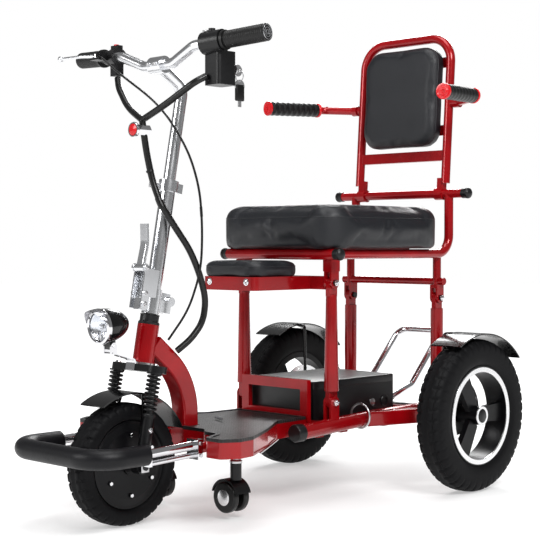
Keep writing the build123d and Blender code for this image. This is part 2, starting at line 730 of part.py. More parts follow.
# ---- child seat --------------------------------------------------------------
child_x = 83.0
child_y = rear_y - 512.0
child_z = front_top_z
bar_w = 20.0
bar_h = 30.0
with BuildPart() as child_seat_frame:
    cross = leg_x - lug_t / 2 - slip - ear_t
    block((-cross, front_leg_y - 9, child_z - bar_h / 2), (cross, front_leg_y + 9, child_z + bar_h / 2))
    block((-child_x, child_y, child_z - bar_h / 2), (child_x, front_leg_y, child_z + bar_h / 2))
    block((-child_x + bar_w, child_y + bar_w, child_z - bar_h), (child_x - bar_w, front_leg_y - 9, child_z + bar_h),
          mode=Mode.SUBTRACT)
    fillet(child_seat_frame.edges().filter_by(Axis.Z).sort_by(Axis.Y)[0:2], radius=14)
    block((-child_x + 4, child_y + 60, child_z + bar_h / 2 - 4), (child_x - 4, child_y + 90, child_z + bar_h / 2))
save(child_seat_frame, "child_seat_frame")

with BuildPart() as child_seat_pad:
    pad_low = child_z + bar_h / 2
    with BuildSketch(Plane.XY.offset(pad_low)) as small_pad:
        with Locations((0, child_y + 71)):
            RectangleRounded(2 * child_x + 20, 160, 24)
    extrude(small_pad.sketch, amount=34)
    fillet(child_seat_pad.edges().group_by(Axis.Z)[-1], radius=10)
save(child_seat_pad, "child_seat_pad")

# ---- backrest ----------------------------------------------------------------
recline_rad = math.radians(recline)
back_up = Vector(0, math.sin(recline_rad), math.cos(recline_rad))
back_hinge = Vector(0, back_y, back_z)
sleeve_half = 12.0
sleeve_r = 15.5


def on_back(x, up, forward=0.0):
    """A point on the backrest: across, up from its hinge, and forward."""
    ahead = Vector(0, -math.cos(recline_rad), math.sin(recline_rad))
    return back_hinge + Vector(x, 0, 0) + back_up * up + ahead * forward


strap_back = 14.0
back_pad_low = 109.0
crossbar_h = 26.0
crossbar_t = 10.0
back_pad_high = back_top - seat_tube_r - 2
arm_up = 225.0
arm_pin_r = 5.0
arm_sleeve_x = 163.0
arm_sleeve_half = 8.0
with BuildPart() as backrest_frame:
    u_path = [
        on_back(-back_tube_x, 26), on_back(-back_tube_x, back_top),
        on_back(back_tube_x, back_top), on_back(back_tube_x, 26),
    ]
    rod(u_path, seat_tube_r, [62, 62])
    back_plane = Plane(origin=back_hinge, x_dir=(1, 0, 0), z_dir=on_back(0, 0, 1) - back_hinge)
    with BuildSketch(back_plane.offset(-crossbar_t / 2)) as crossbar:
        with Locations((0, back_pad_low - 1 - crossbar_h / 2)):
            Rectangle(2 * back_tube_x, crossbar_h)
    extrude(crossbar.sketch, amount=crossbar_t)
    with BuildSketch(back_plane.offset(-strap_back)) as straps:
        for up in (160, 330):
            with Locations((0, up)):
                Rectangle(2 * back_tube_x, 26)
    extrude(straps.sketch, amount=4)
    for side in (1, -1):
        foot_x = side * (back_tube_x - sleeve_half - 2)
        with BuildSketch(back_plane) as foot:
            with Locations((side * (back_tube_x - 11), 24)):
                Rectangle(18, 30)
        extrude(foot.sketch, amount=8, both=True)
        disc_x(back_hinge + Vector(foot_x, 0, 0), sleeve_r, 2 * sleeve_half)
        disc_x(back_hinge + Vector(foot_x, 0, 0), seat_tube_r + run_fit, 60, mode=Mode.SUBTRACT)
        arm_pin = on_back(0, arm_up)
        disc_x(arm_pin + Vector(side * (back_tube_x + 9), 0, 0), 9, 14)
        disc_x(arm_pin + Vector(side * (arm_sleeve_x - 5), 0, 0), arm_pin_r, 2 * arm_sleeve_half + 10)
save(backrest_frame, "backrest_frame")

with BuildPart() as backrest_pad:
    with BuildSketch(back_plane.offset(-strap_back + 4)) as back_pad:
        with Locations((0, (back_pad_low + back_pad_high) / 2)):
            RectangleRounded(2 * (back_tube_x - seat_tube_r - 2), back_pad_high - back_pad_low, 50)
    extrude(back_pad.sketch, amount=42)
    front_face = backrest_pad.faces().sort_by(Axis(back_hinge, back_plane.z_dir))[-1]
    fillet(front_face.edges(), radius=14)
save(backrest_pad, "backrest_pad")

# ---- armrests ----------------------------------------------------------------
arm_tube_r = 10.0
arm_grip_r = 17.0
arm_bend = 30.0
for side, name in ((1, "left"), (-1, "right")):
    pin_at = on_back(side * arm_sleeve_x, arm_up)
    corner = on_frame(side * 246, 80, 931)
    tip = on_frame(side * 280, -99, 926)
    along = (tip - corner).normalized()
    grip_start = corner + along * 22
    bar_end = tip - along * 8
    with BuildPart() as armrest:
        rod([pin_at, corner, bar_end], arm_tube_r, [arm_bend])
        disc_x(pin_at, 13, 2 * arm_sleeve_half)
        disc_x(pin_at, arm_pin_r + run_fit, 40, mode=Mode.SUBTRACT)
        disc_x(pin_at - Vector(side * (arm_sleeve_half + 6), 0, 0), 15, 12, mode=Mode.SUBTRACT)
    save(armrest, f"armrest_{name}")
    with BuildPart() as armrest_grip:
        rod([grip_start, tip], arm_grip_r)
        fillet(armrest_grip.edges(), radius=4)
        rod([grip_start - along * 5, bar_end], arm_tube_r, mode=Mode.SUBTRACT)
    save(armrest_grip, f"armrest_grip_{name}")

# ---- fold joint and lower stem -----------------------------------------------
hinge_back = 42.0
split_z = base_z + base_len
hinge_ear = 10.0
tongue_half = 8.0
ear_gap = slip
cheek_in = 14.0
cheek_out = 18.0
latch_back = 44.0
latch_z = split_z + 58
stem_top = split_z + slip + stem_len + 2
collar_low = stem_top - clamp_len
collar_r = 21.0


def steer_block(low, high, mode=Mode.ADD):
    """A box square to the steering axis, between (across, back, along) corners."""
    size = Vector(*high) - Vector(*low)
    middle = (Vector(*low) + Vector(*high)) * 0.5
    with BuildSketch(steer.offset(low[2])) as base:
        with Locations((middle.X, middle.Y)):
            Rectangle(size.X, size.Y)
    extrude(base.sketch, amount=size.Z, mode=mode)


with BuildPart() as stem_base:
    rod([on_steer(0, 0, base_z), on_steer(0, 0, split_z)], base_r)
    for side in (1, -1):
        ear_x = side * (tongue_half + ear_gap + 3)
        steer_block((ear_x - 3, 8, split_z - 26), (ear_x + 3, hinge_back, split_z - slip))
        disc_x(on_steer(ear_x, hinge_back, split_z), hinge_ear, 6)
    disc_x(on_steer(0, hinge_back, split_z), pin_r, 2 * (tongue_half + ear_gap + 6))
    steer_block((-8, -40, split_z - 28), (8, -12, split_z - 4))
    rod([on_steer(0, 0, base_z - 1), on_steer(0, 0, base_z + 6)], steerer_r, mode=Mode.SUBTRACT)
save(stem_base, "stem_base")

with BuildPart() as stem_tube:
    rod([on_steer(0, 0, split_z + slip), on_steer(0, 0, split_z + sleeve_len)], base_r)
    rod([on_steer(0, 0, split_z + slip), on_steer(0, 0, stem_top)], stem_r)
    rod([on_steer(0, 0, collar_low), on_steer(0, 0, stem_top)], collar_r)
    steer_block((-9, collar_r - 4, collar_low + 2), (9, collar_r + 12, stem_top - 2))
    steer_block((-tongue_half, 12, split_z + slip), (tongue_half, hinge_back, split_z + sleeve_len - 4))
    disc_x(on_steer(0, hinge_back, split_z + slip), hinge_ear, 2 * tongue_half)
    for side in (1, -1):
        cheek_x = side * (cheek_in + cheek_out) / 2
        half_t = (cheek_out - cheek_in) / 2
        steer_block((cheek_x - half_t, -latch_back, split_z + slip), (cheek_x + half_t, -6, latch_z))
        steer_block((cheek_x - half_t, -latch_back, split_z - 26), (cheek_x + half_t, -base_r - 4, split_z + 2))
        disc_x(on_steer(cheek_x, -latch_back, latch_z), 9, 2 * half_t)
        for bolt_back, bolt_z in ((latch_back, latch_z), (latch_back - 7, split_z + 6), (latch_back - 8, split_z - 16)):
            disc_x(on_steer(side * (cheek_out + 1.5), -bolt_back, bolt_z), 5, 3)
    disc_x(on_steer(0, -latch_back, latch_z), 3, 2 * cheek_out)
    rod([on_steer(0, 0, split_z + sleeve_len), on_steer(0, 0, stem_top + 1)], stem_r - stem_wall, mode=Mode.SUBTRACT)
    steer_block((-1.5, stem_r - stem_wall - 2, collar_low - 6), (1.5, collar_r + 14, stem_top + 1), mode=Mode.SUBTRACT)
    disc_x(on_steer(0, hinge_back, split_z), pin_r + run_fit, 40, mode=Mode.SUBTRACT)
save(stem_tube, "stem_tube")

with BuildPart() as fold_latch:
    disc_x(on_steer(0, -latch_back, latch_z), 8, 2 * (cheek_in - slip))
    lever_path = [
        on_steer(0, -latch_back, latch_z), on_steer(0, -latch_back + 3, latch_z + 50),
        on_steer(0, -latch_back - 6, latch_z + 92),
    ]
    lever_line = route(lever_path, [60])
    with BuildSketch(Plane(origin=lever_line @ 0, x_dir=(1, 0, 0), z_dir=lever_line % 0)) as lever_section:
        RectangleRounded(22, 8, 3)
    sweep(sections=lever_section.sketch, path=lever_line)
    disc_x(on_steer(0, -latch_back, latch_z), 3 + run_fit, 60, mode=Mode.SUBTRACT)
save(fold_latch, "fold_latch")

lever_back = collar_r + 8
lever_x = -(9 + slip + 5)
with BuildPart() as height_lever:
    rod([on_steer(lever_x, lever_back, collar_low + 4), on_steer(lever_x, lever_back, stem_top - 4)], 5)
    lever_path = [
        on_steer(lever_x, lever_back, collar_low + clamp_len / 2),
        on_steer(lever_x - 14, lever_back - 16, collar_low + clamp_len / 2),
        on_steer(lever_x - 12, lever_back - 58, collar_low + clamp_len / 2),
    ]
    lever_line = route(lever_path, [18])
    with BuildSketch(Plane(origin=lever_line @ 0, x_dir=steer.z_dir, z_dir=lever_line % 0)) as lever_section:
        RectangleRounded(14, 6, 2)
    sweep(sections=lever_section.sketch, path=lever_line)
save(height_lever, "height_lever")

# ---- telescoping stem and handlebar ------------------------------------------
bar_r = 11.1
bar_bend = 40.0
grip_r = 17.0
bar_mid = on_front(0, 101, 952)
quill_bend_z = 800.0
bend_low = 45.0
bar_rise = on_front(115, 95, 980)
bar_tip = on_front(293, 127, 992)
bar_dir = (bar_tip - bar_rise).normalized()
bar_end_gap = 4.0


def mirrored(point, side):
    """The same point on the chosen side of the scooter."""
    return Vector(side * point.X, point.Y, point.Z)


def on_bar(side, x, ahead=0.0, up=0.0):
    """A point of the straight end of the handlebar, moved forward and up."""
    point = bar_rise + bar_dir * ((x - bar_rise.X) / bar_dir.X)
    return mirrored(point, side) + Vector(0, -ahead, up)


with BuildPart() as stem_extension:
    quill_path = [on_steer(0, 0, stem_top - quill_len), on_steer(0, 0, quill_bend_z), bar_mid]
    rod(quill_path, quill_r, [26])
    disc_x(bar_mid, 18, 40)
    for x in (-11, 11):
        with Locations(Location(bar_mid + Vector(x, -15, 0), (90, 0, 0))):
            Cylinder(4, 12)
    disc_x(bar_mid, bar_r, 60, mode=Mode.SUBTRACT)
save(stem_extension, "stem_extension")

bar_ends = {side: on_bar(side, bar_tip.X - bar_end_gap) for side in (1, -1)}
with BuildPart() as handlebar:
    bar_path = [
        bar_ends[-1], mirrored(bar_rise, -1), on_front(-bend_low, 101, 952),
        on_front(bend_low, 101, 952), bar_rise, bar_ends[1],
    ]
    tube(bar_path, bar_r, 2.2, [bar_bend] * 4)
save(handlebar, "handlebar")

grip_in = 190.0
for side, name in ((-1, "right_grip"), (1, "throttle_grip")):
    bore = bar_r + (run_fit if side > 0 else 0)
    with BuildPart() as grip:
        rod([on_bar(side, grip_in + 4), on_bar(side, bar_tip.X)], grip_r)
        rod([on_bar(side, grip_in), on_bar(side, grip_in + 6)], grip_r + 3)
        fillet(grip.edges().sort_by(Axis.X)[-1 if side > 0 else 0], radius=4)
        rod([on_bar(side, grip_in - 2), on_bar(side, bar_tip.X - bar_end_gap + (slip if side > 0 else 0))],
            bore, mode=Mode.SUBTRACT)
    save(grip, name)

# ---- left side controls: throttle housing, key and its ring ------------------
key_x = 165.0
key_z = 932.0
lobe_back = front_y + 150.0
lobe_low = 898.0
with BuildPart() as throttle_housing:
    rod([on_bar(1, 141), on_bar(1, grip_in - 2)], 23)
    with BuildSketch(Plane.XY.offset(lobe_low)) as lobe:
        with Locations((key_x - 4, lobe_back - 25)):
            RectangleRounded(46, 50, 8)
    extrude(lobe.sketch, amount=68)
    with Locations(Location((key_x, lobe_back, key_z), (90, 0, 0))):
        Cylinder(10, 10)
    with Locations(on_bar(1, 160, up=24)):
        Cylinder(7, 8)
    rod([on_bar(1, 120), on_bar(1, 210)], bar_r, mode=Mode.SUBTRACT)
    with Locations(Location((key_x, lobe_back, key_z), (90, 0, 0))):
        Cylinder(3 + run_fit, 24, mode=Mode.SUBTRACT)
save(throttle_housing, "throttle_housing")

bow_y = lobe_back + 26
with BuildPart() as ignition_key:
    rod([Vector(key_x, lobe_back - 10, key_z), Vector(key_x, lobe_back + 10, key_z)], 3)
    disc_x(Vector(key_x, lobe_back + 20, key_z), 12, 3)
    disc_x(Vector(key_x, bow_y, key_z), 3.5, 10, mode=Mode.SUBTRACT)
save(ignition_key, "ignition_key")

ring_major = 11.0
with BuildPart() as key_fob:
    ring_at = Vector(key_x, bow_y, key_z - ring_major)
    with BuildSketch(Plane(origin=ring_at + Vector(0, 0, ring_major), x_dir=(0, 1, 0), z_dir=(1, 0, 0))) as ring_wire_at:
        Circle(1)
    revolve(ring_wire_at.sketch, axis=Axis(ring_at, (0, 1, 0)))
    disc_x(ring_at - Vector(0, 0, ring_major + 9), 13, 3)
    block(ring_at - Vector(1.2, 4, ring_major + 52), ring_at - Vector(-1.2, -4, ring_major + 14))
save(key_fob, "key_fob")

# ---- right side controls: brake perch and switch pod -------------------------
perch_x = 165.0
lever_pivot = on_bar(-1, perch_x, ahead=36)
lever_t = 8.0
with BuildPart() as right_controls:
    rod([on_bar(-1, perch_x - 11), on_bar(-1, perch_x + 11)], 15)
    block(lever_pivot - Vector(12, 12, 9), lever_pivot + Vector(15, 24, 9))
    block(lever_pivot - Vector(20, 20, lever_t / 2 + slip), lever_pivot + Vector(9, 9, lever_t / 2 + slip),
          mode=Mode.SUBTRACT)
    with Locations(lever_pivot):
        Cylinder(3, 18)
    rod([on_bar(-1, 126), on_bar(-1, 150)], 19)
    block(on_bar(-1, 150, ahead=8, up=8), on_bar(-1, 126, ahead=-10, up=26))
    block(on_bar(-1, 146, ahead=12, up=-42), on_bar(-1, 126, ahead=-12, up=-14))
    with Locations(on_bar(-1, 138, up=22)):
        Cylinder(5.5 + 0.15, 12, mode=Mode.SUBTRACT)
    rod([on_bar(-1, 120), on_bar(-1, 190)], bar_r, mode=Mode.SUBTRACT)
save(right_controls, "right_controls")

with BuildPart() as horn_button:
    with Locations(on_bar(-1, 138, up=22 + 1.5)):
        Cylinder(5.5, 8)
save(horn_button, "horn_button")

lever_tip = on_front(-268, 48, 985)
lever_bend = lever_pivot + Vector(-42, -12, 2)
lever_end = (lever_tip - lever_bend).normalized()
with BuildPart() as brake_lever:
    rod([lever_tip - lever_end * 6, lever_tip + lever_end * 6], 6.5)
    fillet(brake_lever.edges().filter_by(GeomType.CIRCLE), radius=4.5)
    with Locations(lever_pivot):
        Cylinder(8, lever_t)
    rod([lever_pivot - Vector(5, 0, 0), lever_bend, lever_tip], 3.4, [60])
    with Locations(lever_pivot):
        Cylinder(3 + run_fit, 30, mode=Mode.SUBTRACT)
save(brake_lever, "brake_lever")

# ---- headlight ---------------------------------------------------------------
lamp_mid = on_front(0, -29, 412)
lamp_pivot = on_front(0, -31, 369)
lamp_tilt = 4.0
lamp_dir = Vector(0, -math.cos(math.radians(lamp_tilt)), -math.sin(math.radians(lamp_tilt)))
lamp_front = lamp_mid + lamp_dir * 30
lens_r = 30.0
with BuildPart() as headlight_bracket:
    crown_front = 8.5 + 22
    strip = [
        on_steer(0, -crown_front - 1.5, crown_z), on_steer(0, -crown_front - 1.5, crown_z + 22),
        lamp_pivot + Vector(0, -4, -13),
    ]
    strip_line = route(strip, [8])
    with BuildSketch(Plane(origin=strip_line @ 0, x_dir=(1, 0, 0), z_dir=strip_line % 0)) as strip_section:
        Rectangle(28, 3)
    sweep(sections=strip_section.sketch, path=strip_line)
    for side in (1, -1):
        block(lamp_pivot + Vector(side * 11 - 2, -8, -16), lamp_pivot + Vector(side * 11 + 2, 8, 0))
        disc_x(lamp_pivot + Vector(side * 11, 0, 0), 8, 4)
    disc_x(lamp_pivot, 3, 32)
save(headlight_bracket, "headlight_bracket")

lamp_plane = Plane(origin=lamp_front, x_dir=(1, 0, 0), z_dir=lamp_dir.cross(Vector(1, 0, 0)))
with BuildPart() as headlight_shell:
    with BuildSketch(lamp_plane) as profile:
        with BuildLine():
            Polyline((0, 8), (lens_r + 1, 8), (lens_r + 1, -3), (lens_r + 6, -3), (lens_r + 6, 6))
            Spline((lens_r + 6, 6), (lens_r + 2, 36), (12, 68), (0, 74))
            Line((0, 74), (0, 8))
        make_face()
    revolve(profile.sketch, axis=Axis(lamp_front, lamp_dir))
    block(lamp_pivot + Vector(-8.7, -7, 0), lamp_pivot + Vector(8.7, 7, 14))
    disc_x(lamp_pivot, 7, 17.4)
    disc_x(lamp_pivot, 3 + run_fit, 40, mode=Mode.SUBTRACT)
save(headlight_shell, "headlight_shell")

with BuildPart() as headlight_lens:
    with BuildSketch(lamp_plane) as dome:
        with BuildLine():
            Line((0, 8), (lens_r, 8))
            Line((lens_r, 8), (lens_r, 3))
            TangentArc((0, -2), (lens_r, 3), tangent=(1, 0))
            Line((0, -2), (0, 8))
        make_face()
    revolve(dome.sketch, axis=Axis(lamp_front, lamp_dir))
save(headlight_lens, "headlight_lens")

# ---- wiring and brake cable --------------------------------------------------
loom_r = 7.0
cable_r = 2.5
joint_z = 542.0
loom_main = [
    (0, 55, 834), (0, 65, 773), (8, 75, 710), (26, 81, 662), (38, 111, 613), (46, 146, 565),
    (50, 171, 512), (50, 188, 458), (46, 183, 411), (40, 154, 376), (28, 125, 352),
]
loom_left = [(150, 95.5, 915), (140, 73, 902), (70, 59, 862), (0, 55, 834)]
loom_right = [(-131, 97, 935.3), (-114, 86, 912), (-60, 67, 864), (0, 55, 834)]
brake_line = [
    (-147, 65, 979), (-110, 82, 944), (-40, 120, 884), (25, 115, 832), (38, 154, 765),
    (50, 171, 691), (58, 171, 607), (61, 164, 522), (52, 137, 439), (23.5, 105, 376),
]


def placed(points):
    """Turn (across, behind the front axle, up) triples into points."""
    return [on_front(*p) for p in points]


for name, keep, gap in (("upper", Keep.TOP, 1.0), ("lower", Keep.BOTTOM, -1.0)):
    with BuildPart() as wiring_loom:
        cable("loom " + name, placed(loom_main), loom_r)
        if keep == Keep.TOP:
            cable("loom left", placed(loom_left), loom_r)
            cable("loom right", placed(loom_right), loom_r)
        split(bisect_by=steer.offset(joint_z + gap / 2), keep=keep)
    save(wiring_loom, f"wiring_loom_{name}")
    with BuildPart() as brake_cable:
        cable("brake " + name, placed(brake_line), cable_r)
        split(bisect_by=steer.offset(joint_z + gap * 1.6), keep=keep)
    save(brake_cable, f"brake_cable_{name}")

with BuildPart() as loom_clasp:
    with BuildSketch(Plane(origin=on_front(0, 71, 813), x_dir=(1, 0, 0), z_dir=(0, -1, 0))) as nut:
        RegularPolygon(12, 6)
    extrude(nut.sketch, amount=38)
    rod(placed(loom_main)[0:2], loom_r, mode=Mode.SUBTRACT)
save(loom_clasp, "loom_clasp")
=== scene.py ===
# %% [markdown]
# # A folding mobility scooter
# The scooter's tubes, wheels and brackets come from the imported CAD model, which is the fixed frame.
# Everything here is looks: finishes for those parts, and the soft or fine pieces that stand on them.
# Each new piece names the body it rides on, so that the folding stem, legs and wheels carry it along.

# %% Load the frame
import json
import math

import bmesh
import bpy
from mathutils import Matrix, Vector
from mathutils.bvhtree import BVHTree


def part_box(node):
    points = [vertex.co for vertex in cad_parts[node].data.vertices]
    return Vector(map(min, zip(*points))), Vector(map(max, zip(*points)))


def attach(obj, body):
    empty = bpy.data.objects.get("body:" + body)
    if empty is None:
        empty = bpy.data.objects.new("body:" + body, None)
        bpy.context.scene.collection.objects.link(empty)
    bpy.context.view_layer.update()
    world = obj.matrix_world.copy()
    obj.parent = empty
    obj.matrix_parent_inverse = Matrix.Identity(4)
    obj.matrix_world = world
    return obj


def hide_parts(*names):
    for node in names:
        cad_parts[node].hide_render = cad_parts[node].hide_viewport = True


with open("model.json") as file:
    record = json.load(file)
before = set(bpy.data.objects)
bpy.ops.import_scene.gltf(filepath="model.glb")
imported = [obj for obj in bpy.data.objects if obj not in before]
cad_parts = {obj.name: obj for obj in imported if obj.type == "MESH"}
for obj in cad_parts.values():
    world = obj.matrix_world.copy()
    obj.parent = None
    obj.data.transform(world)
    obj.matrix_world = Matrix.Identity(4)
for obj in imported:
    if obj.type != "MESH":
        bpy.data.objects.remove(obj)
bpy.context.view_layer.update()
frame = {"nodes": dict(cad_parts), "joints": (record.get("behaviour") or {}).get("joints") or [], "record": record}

nodes = frame["nodes"]


# %% [markdown]
# ## Shader sums as plain Python
# A material is a graph of small nodes. Writing `1 - mask * 0.4` is easier to read than wiring boxes, so a
# value that comes from a socket is wrapped in a class whose operators add the Math nodes. A Math node turns
# a colour grey, so colours and vectors are mixed by their own nodes.

# %% Values and finishes
class Value:
    """A socket whose operators add Math nodes."""

    def __init__(self, finish, socket):
        self.finish = finish
        self.socket = socket

    def maths(self, operation, first, second=0.0):
        return self.finish.node("ShaderNodeMath", {"operation": operation}, {0: first, 1: second})

    def __add__(self, other):
        return self.maths("ADD", self, other)

    def __radd__(self, other):
        return self.maths("ADD", other, self)

    def __sub__(self, other):
        return self.maths("SUBTRACT", self, other)

    def __rsub__(self, other):
        return self.maths("SUBTRACT", other, self)

    def __mul__(self, other):
        return self.maths("MULTIPLY", self, other)

    def __rmul__(self, other):
        return self.maths("MULTIPLY", other, self)

    def sine(self):
        return self.maths("SINE", self)


class Finish:
    """A material being made: one Principled surface and the nodes that feed it."""

    def __init__(self, name, **surface):
        self.material = bpy.data.materials.new(name)
        self.material.use_nodes = True
        self.tree = self.material.node_tree
        self.surface = self.tree.nodes["Principled BSDF"]
        for socket, value in surface.items():
            self.feed(self.surface.inputs[socket.replace("_", " ")], value)

    def feed(self, socket, value):
        if isinstance(value, Value):
            self.tree.links.new(value.socket, socket)
        elif isinstance(value, tuple) and socket.type == "RGBA":
            socket.default_value = (*value, 1.0)
        else:
            socket.default_value = value

    def node(self, kind, settings=None, sockets=None, out=0):
        made = self.tree.nodes.new(kind)
        for key, value in (settings or {}).items():
            if key == "stops":
                ramp = made.color_ramp.elements
                while len(ramp) < len(value):
                    ramp.new(1.0)
                for stop, (position, level) in zip(ramp, value):
                    stop.position = position
                    stop.color = (level, level, level, 1.0)
            else:
                setattr(made, key, value)
        for key, value in (sockets or {}).items():
            self.feed(made.inputs[key], value)
        return Value(self, made.outputs[out])

    def place(self, stretch=(1.0, 1.0, 1.0)):
        """Where a point is on the piece, in metres, optionally stretched."""
        where = self.node("ShaderNodeTexCoord", out=3)
        if stretch == (1.0, 1.0, 1.0):
            return where
        return self.node("ShaderNodeVectorMath", {"operation": "MULTIPLY"}, {0: where, 1: stretch})

    def noise(self, scale, detail=3.0, rough=0.5, stretch=(1.0, 1.0, 1.0)):
        return self.node("ShaderNodeTexNoise", {}, {
            "Vector": self.place(stretch), "Scale": scale, "Detail": detail, "Roughness": rough,
        })

    def ramp(self, value, *stops):
        return self.node("ShaderNodeValToRGB", {"stops": stops}, {0: value})

    def tint(self, mask, low, high):
        """One colour where the mask is 0 and another where it is 1."""
        return self.node("ShaderNodeMix", {"data_type": "RGBA"}, {0: mask, 6: low, 7: high}, out=2)

    def relief(self, height, depth, strength=1.0):
        """Raise the surface by a height map, in metres at full height."""
        bump = self.node("ShaderNodeBump", {}, {"Height": height, "Distance": depth, "Strength": strength})
        self.feed(self.surface.inputs["Normal"], bump)

    def set(self, socket, value):
        self.feed(self.surface.inputs[socket], value)


print("shader helpers ready")


# %% [markdown]
# ## Paint, metal and plastic
# The frame is powder coated and then lacquered in a deep red. Under the clear coat the colour is never even:
# it pools darker where the coat is thick, and the lacquer keeps a very slight orange peel. Metals get their
# character from roughness, so polish smears and brush lines go there and not into the colour.

# %% Hard finishes
def lacquer(name, deep, bright, metallic, rough):
    """Coloured paint under a clear coat."""
    finish = Finish(name, Metallic=metallic, Specular_IOR_Level=0.25, Coat_Weight=0.35, Coat_Roughness=0.05)
    cloud = finish.ramp(finish.noise(9.0, 4.0), (0.35, 0.0), (0.7, 1.0))
    finish.set("Base Color", finish.tint(cloud, deep, bright))
    dust = finish.ramp(finish.noise(60.0, 6.0, 0.65), (0.5, 0.0), (0.8, 1.0))
    finish.set("Roughness", dust * 0.1 + rough)
    finish.relief(finish.noise(620.0, 1.0), 0.00006)
    return finish.material


def polished(name, tone, low, high, stretch=(1.0, 1.0, 1.0), lines=260.0):
    """Bare metal with polish smears or brush lines."""
    finish = Finish(name, Metallic=1.0)
    smear = finish.noise(14.0, 5.0, 0.6)
    grain = finish.noise(lines, 3.0, 0.7, stretch)
    finish.set("Base Color", finish.tint(smear, tuple(c * 0.86 for c in tone), tone))
    finish.set("Roughness", smear * (high - low) + grain * 0.05 + low)
    finish.relief(grain, 0.00003)
    return finish.material


def moulded(name, tone, rough, pit_scale=900.0, pit=0.00008, shine=0.35):
    """Moulded plastic or rubber with a fine spark-eroded grain."""
    finish = Finish(name, Specular_IOR_Level=shine)
    cloud = finish.noise(12.0, 4.0)
    worn = finish.ramp(finish.noise(85.0, 7.0, 0.7), (0.52, 0.0), (0.75, 1.0))
    finish.set("Base Color", finish.tint(cloud, tone, tuple(c * 1.5 + 0.001 for c in tone)))
    finish.set("Roughness", worn * 0.14 + rough)
    finish.relief(finish.noise(pit_scale, 2.0), pit)
    return finish.material


red_paint = lacquer("red_lacquer", (0.24, 0.001, 0.003), (0.36, 0.002, 0.005), 0.2, 0.2)
fender_black = lacquer("fender_gloss", (0.0015, 0.0015, 0.0015), (0.003, 0.003, 0.0035), 0.0, 0.2)
chrome = polished("chrome_plate", (0.80, 0.80, 0.82), 0.05, 0.14)
zinc = polished("zinc_plate", (0.62, 0.62, 0.63), 0.2, 0.38)
aluminium = polished("polished_alloy", (0.78, 0.79, 0.81), 0.12, 0.26, (1.0, 1.0, 0.06), 420.0)
machined = polished("machined_lip", (0.85, 0.85, 0.86), 0.18, 0.3, (0.2, 1.0, 1.0), 500.0)
black_paint = moulded("black_paint", (0.002, 0.002, 0.0025), 0.28, 620.0, 0.00006, 0.35)
rim_black = moulded("rim_enamel", (0.0015, 0.0015, 0.002), 0.34, 620.0, 0.00006, 0.2)
plastic = moulded("black_plastic", (0.003, 0.003, 0.0035), 0.36)
case_plastic = moulded("case_plastic", (0.003, 0.003, 0.0035), 0.3, 500.0, 0.00015, 0.5)
soft_plastic = moulded("cable_sleeve", (0.002, 0.002, 0.002), 0.32)
foam = moulded("foam_sleeve", (0.002, 0.002, 0.003), 0.42, 650.0, 0.0002, 0.25)
grip_rubber = moulded("grip_rubber", (0.0025, 0.0025, 0.0025), 0.42)
caster_rubber = moulded("caster_tread", (0.003, 0.003, 0.003), 0.3)
red_plastic = lacquer("red_moulding", (0.5, 0.006, 0.01), (0.66, 0.01, 0.015), 0.0, 0.2)
cell_wrap = moulded("cell_wrap", (0.03, 0.09, 0.25), 0.4)
print("hard finishes:", len(bpy.data.materials))


# %% [markdown]
# ## Vinyl, tyre rubber and the deck mat
# Seat vinyl is pressed with a leather grain of small cells, and it stretches into soft wrinkles near its
# seams. The deck mat is rubber with rows of small raised diamonds that keep a shoe from slipping.

# %% Soft finishes
def vinyl_finish():
    finish = Finish("seat_vinyl", Specular_IOR_Level=0.4)
    cells = finish.node("ShaderNodeTexVoronoi", {"feature": "DISTANCE_TO_EDGE"}, {
        "Vector": finish.place(), "Scale": 420.0,
    })
    pores = finish.ramp(cells, (0.02, 0.0), (0.16, 1.0))
    drape = finish.noise(16.0, 4.0, 0.55)
    finish.set("Base Color", finish.tint(drape, (0.0035, 0.004, 0.006), (0.007, 0.008, 0.011)))
    finish.set("Roughness", 0.4 - pores * 0.06 + drape * 0.08)
    finish.relief(pores * 0.2 + drape, 0.0006)
    return finish.material


def mat_finish():
    finish = Finish("deck_rubber")
    across = finish.node("ShaderNodeSeparateXYZ", {}, {0: finish.place()}, out=0)
    along = finish.node("ShaderNodeSeparateXYZ", {}, {0: finish.place()}, out=1)
    pitch = 2 * math.pi / 0.015
    studs = ((across + along) * pitch).sine() * ((across - along) * pitch).sine()
    raised = finish.ramp(studs, (0.1, 0.0), (0.45, 1.0))
    scuff = finish.noise(40.0, 6.0, 0.7)
    finish.set("Base Color", finish.tint(raised, (0.003, 0.003, 0.003), (0.008, 0.008, 0.009)))
    finish.set("Roughness", 0.36 - raised * 0.1 + scuff * 0.14)
    finish.relief(raised, 0.0016)
    return finish.material


def tyre_finish():
    finish = Finish("tyre_rubber", Specular_IOR_Level=0.14)
    dust = finish.noise(22.0, 6.0, 0.65)
    finish.set("Base Color", finish.tint(dust, (0.0015, 0.0015, 0.002), (0.004, 0.004, 0.0048)))
    finish.set("Roughness", dust * 0.2 + 0.5)
    finish.relief(finish.noise(700.0, 3.0), 0.0002)
    return finish.material


def lens_finish():
    finish = Finish("lamp_lens", Transmission_Weight=1.0, IOR=1.45)
    ribs = finish.noise(90.0, 1.0, stretch=(1.0, 0.05, 0.05))
    finish.set("Base Color", (0.95, 0.97, 1.0))
    finish.set("Roughness", ribs * 0.06 + 0.02)
    finish.relief(ribs, 0.0006)
    return finish.material


vinyl = vinyl_finish()
deck_rubber = mat_finish()
tyre_rubber = tyre_finish()
lens_glass = lens_finish()
print("soft finishes ready")


# %% [markdown]
# ## Finishes for the CAD parts
# A CAD node keeps its mesh and its place, and takes a better material in its slots.

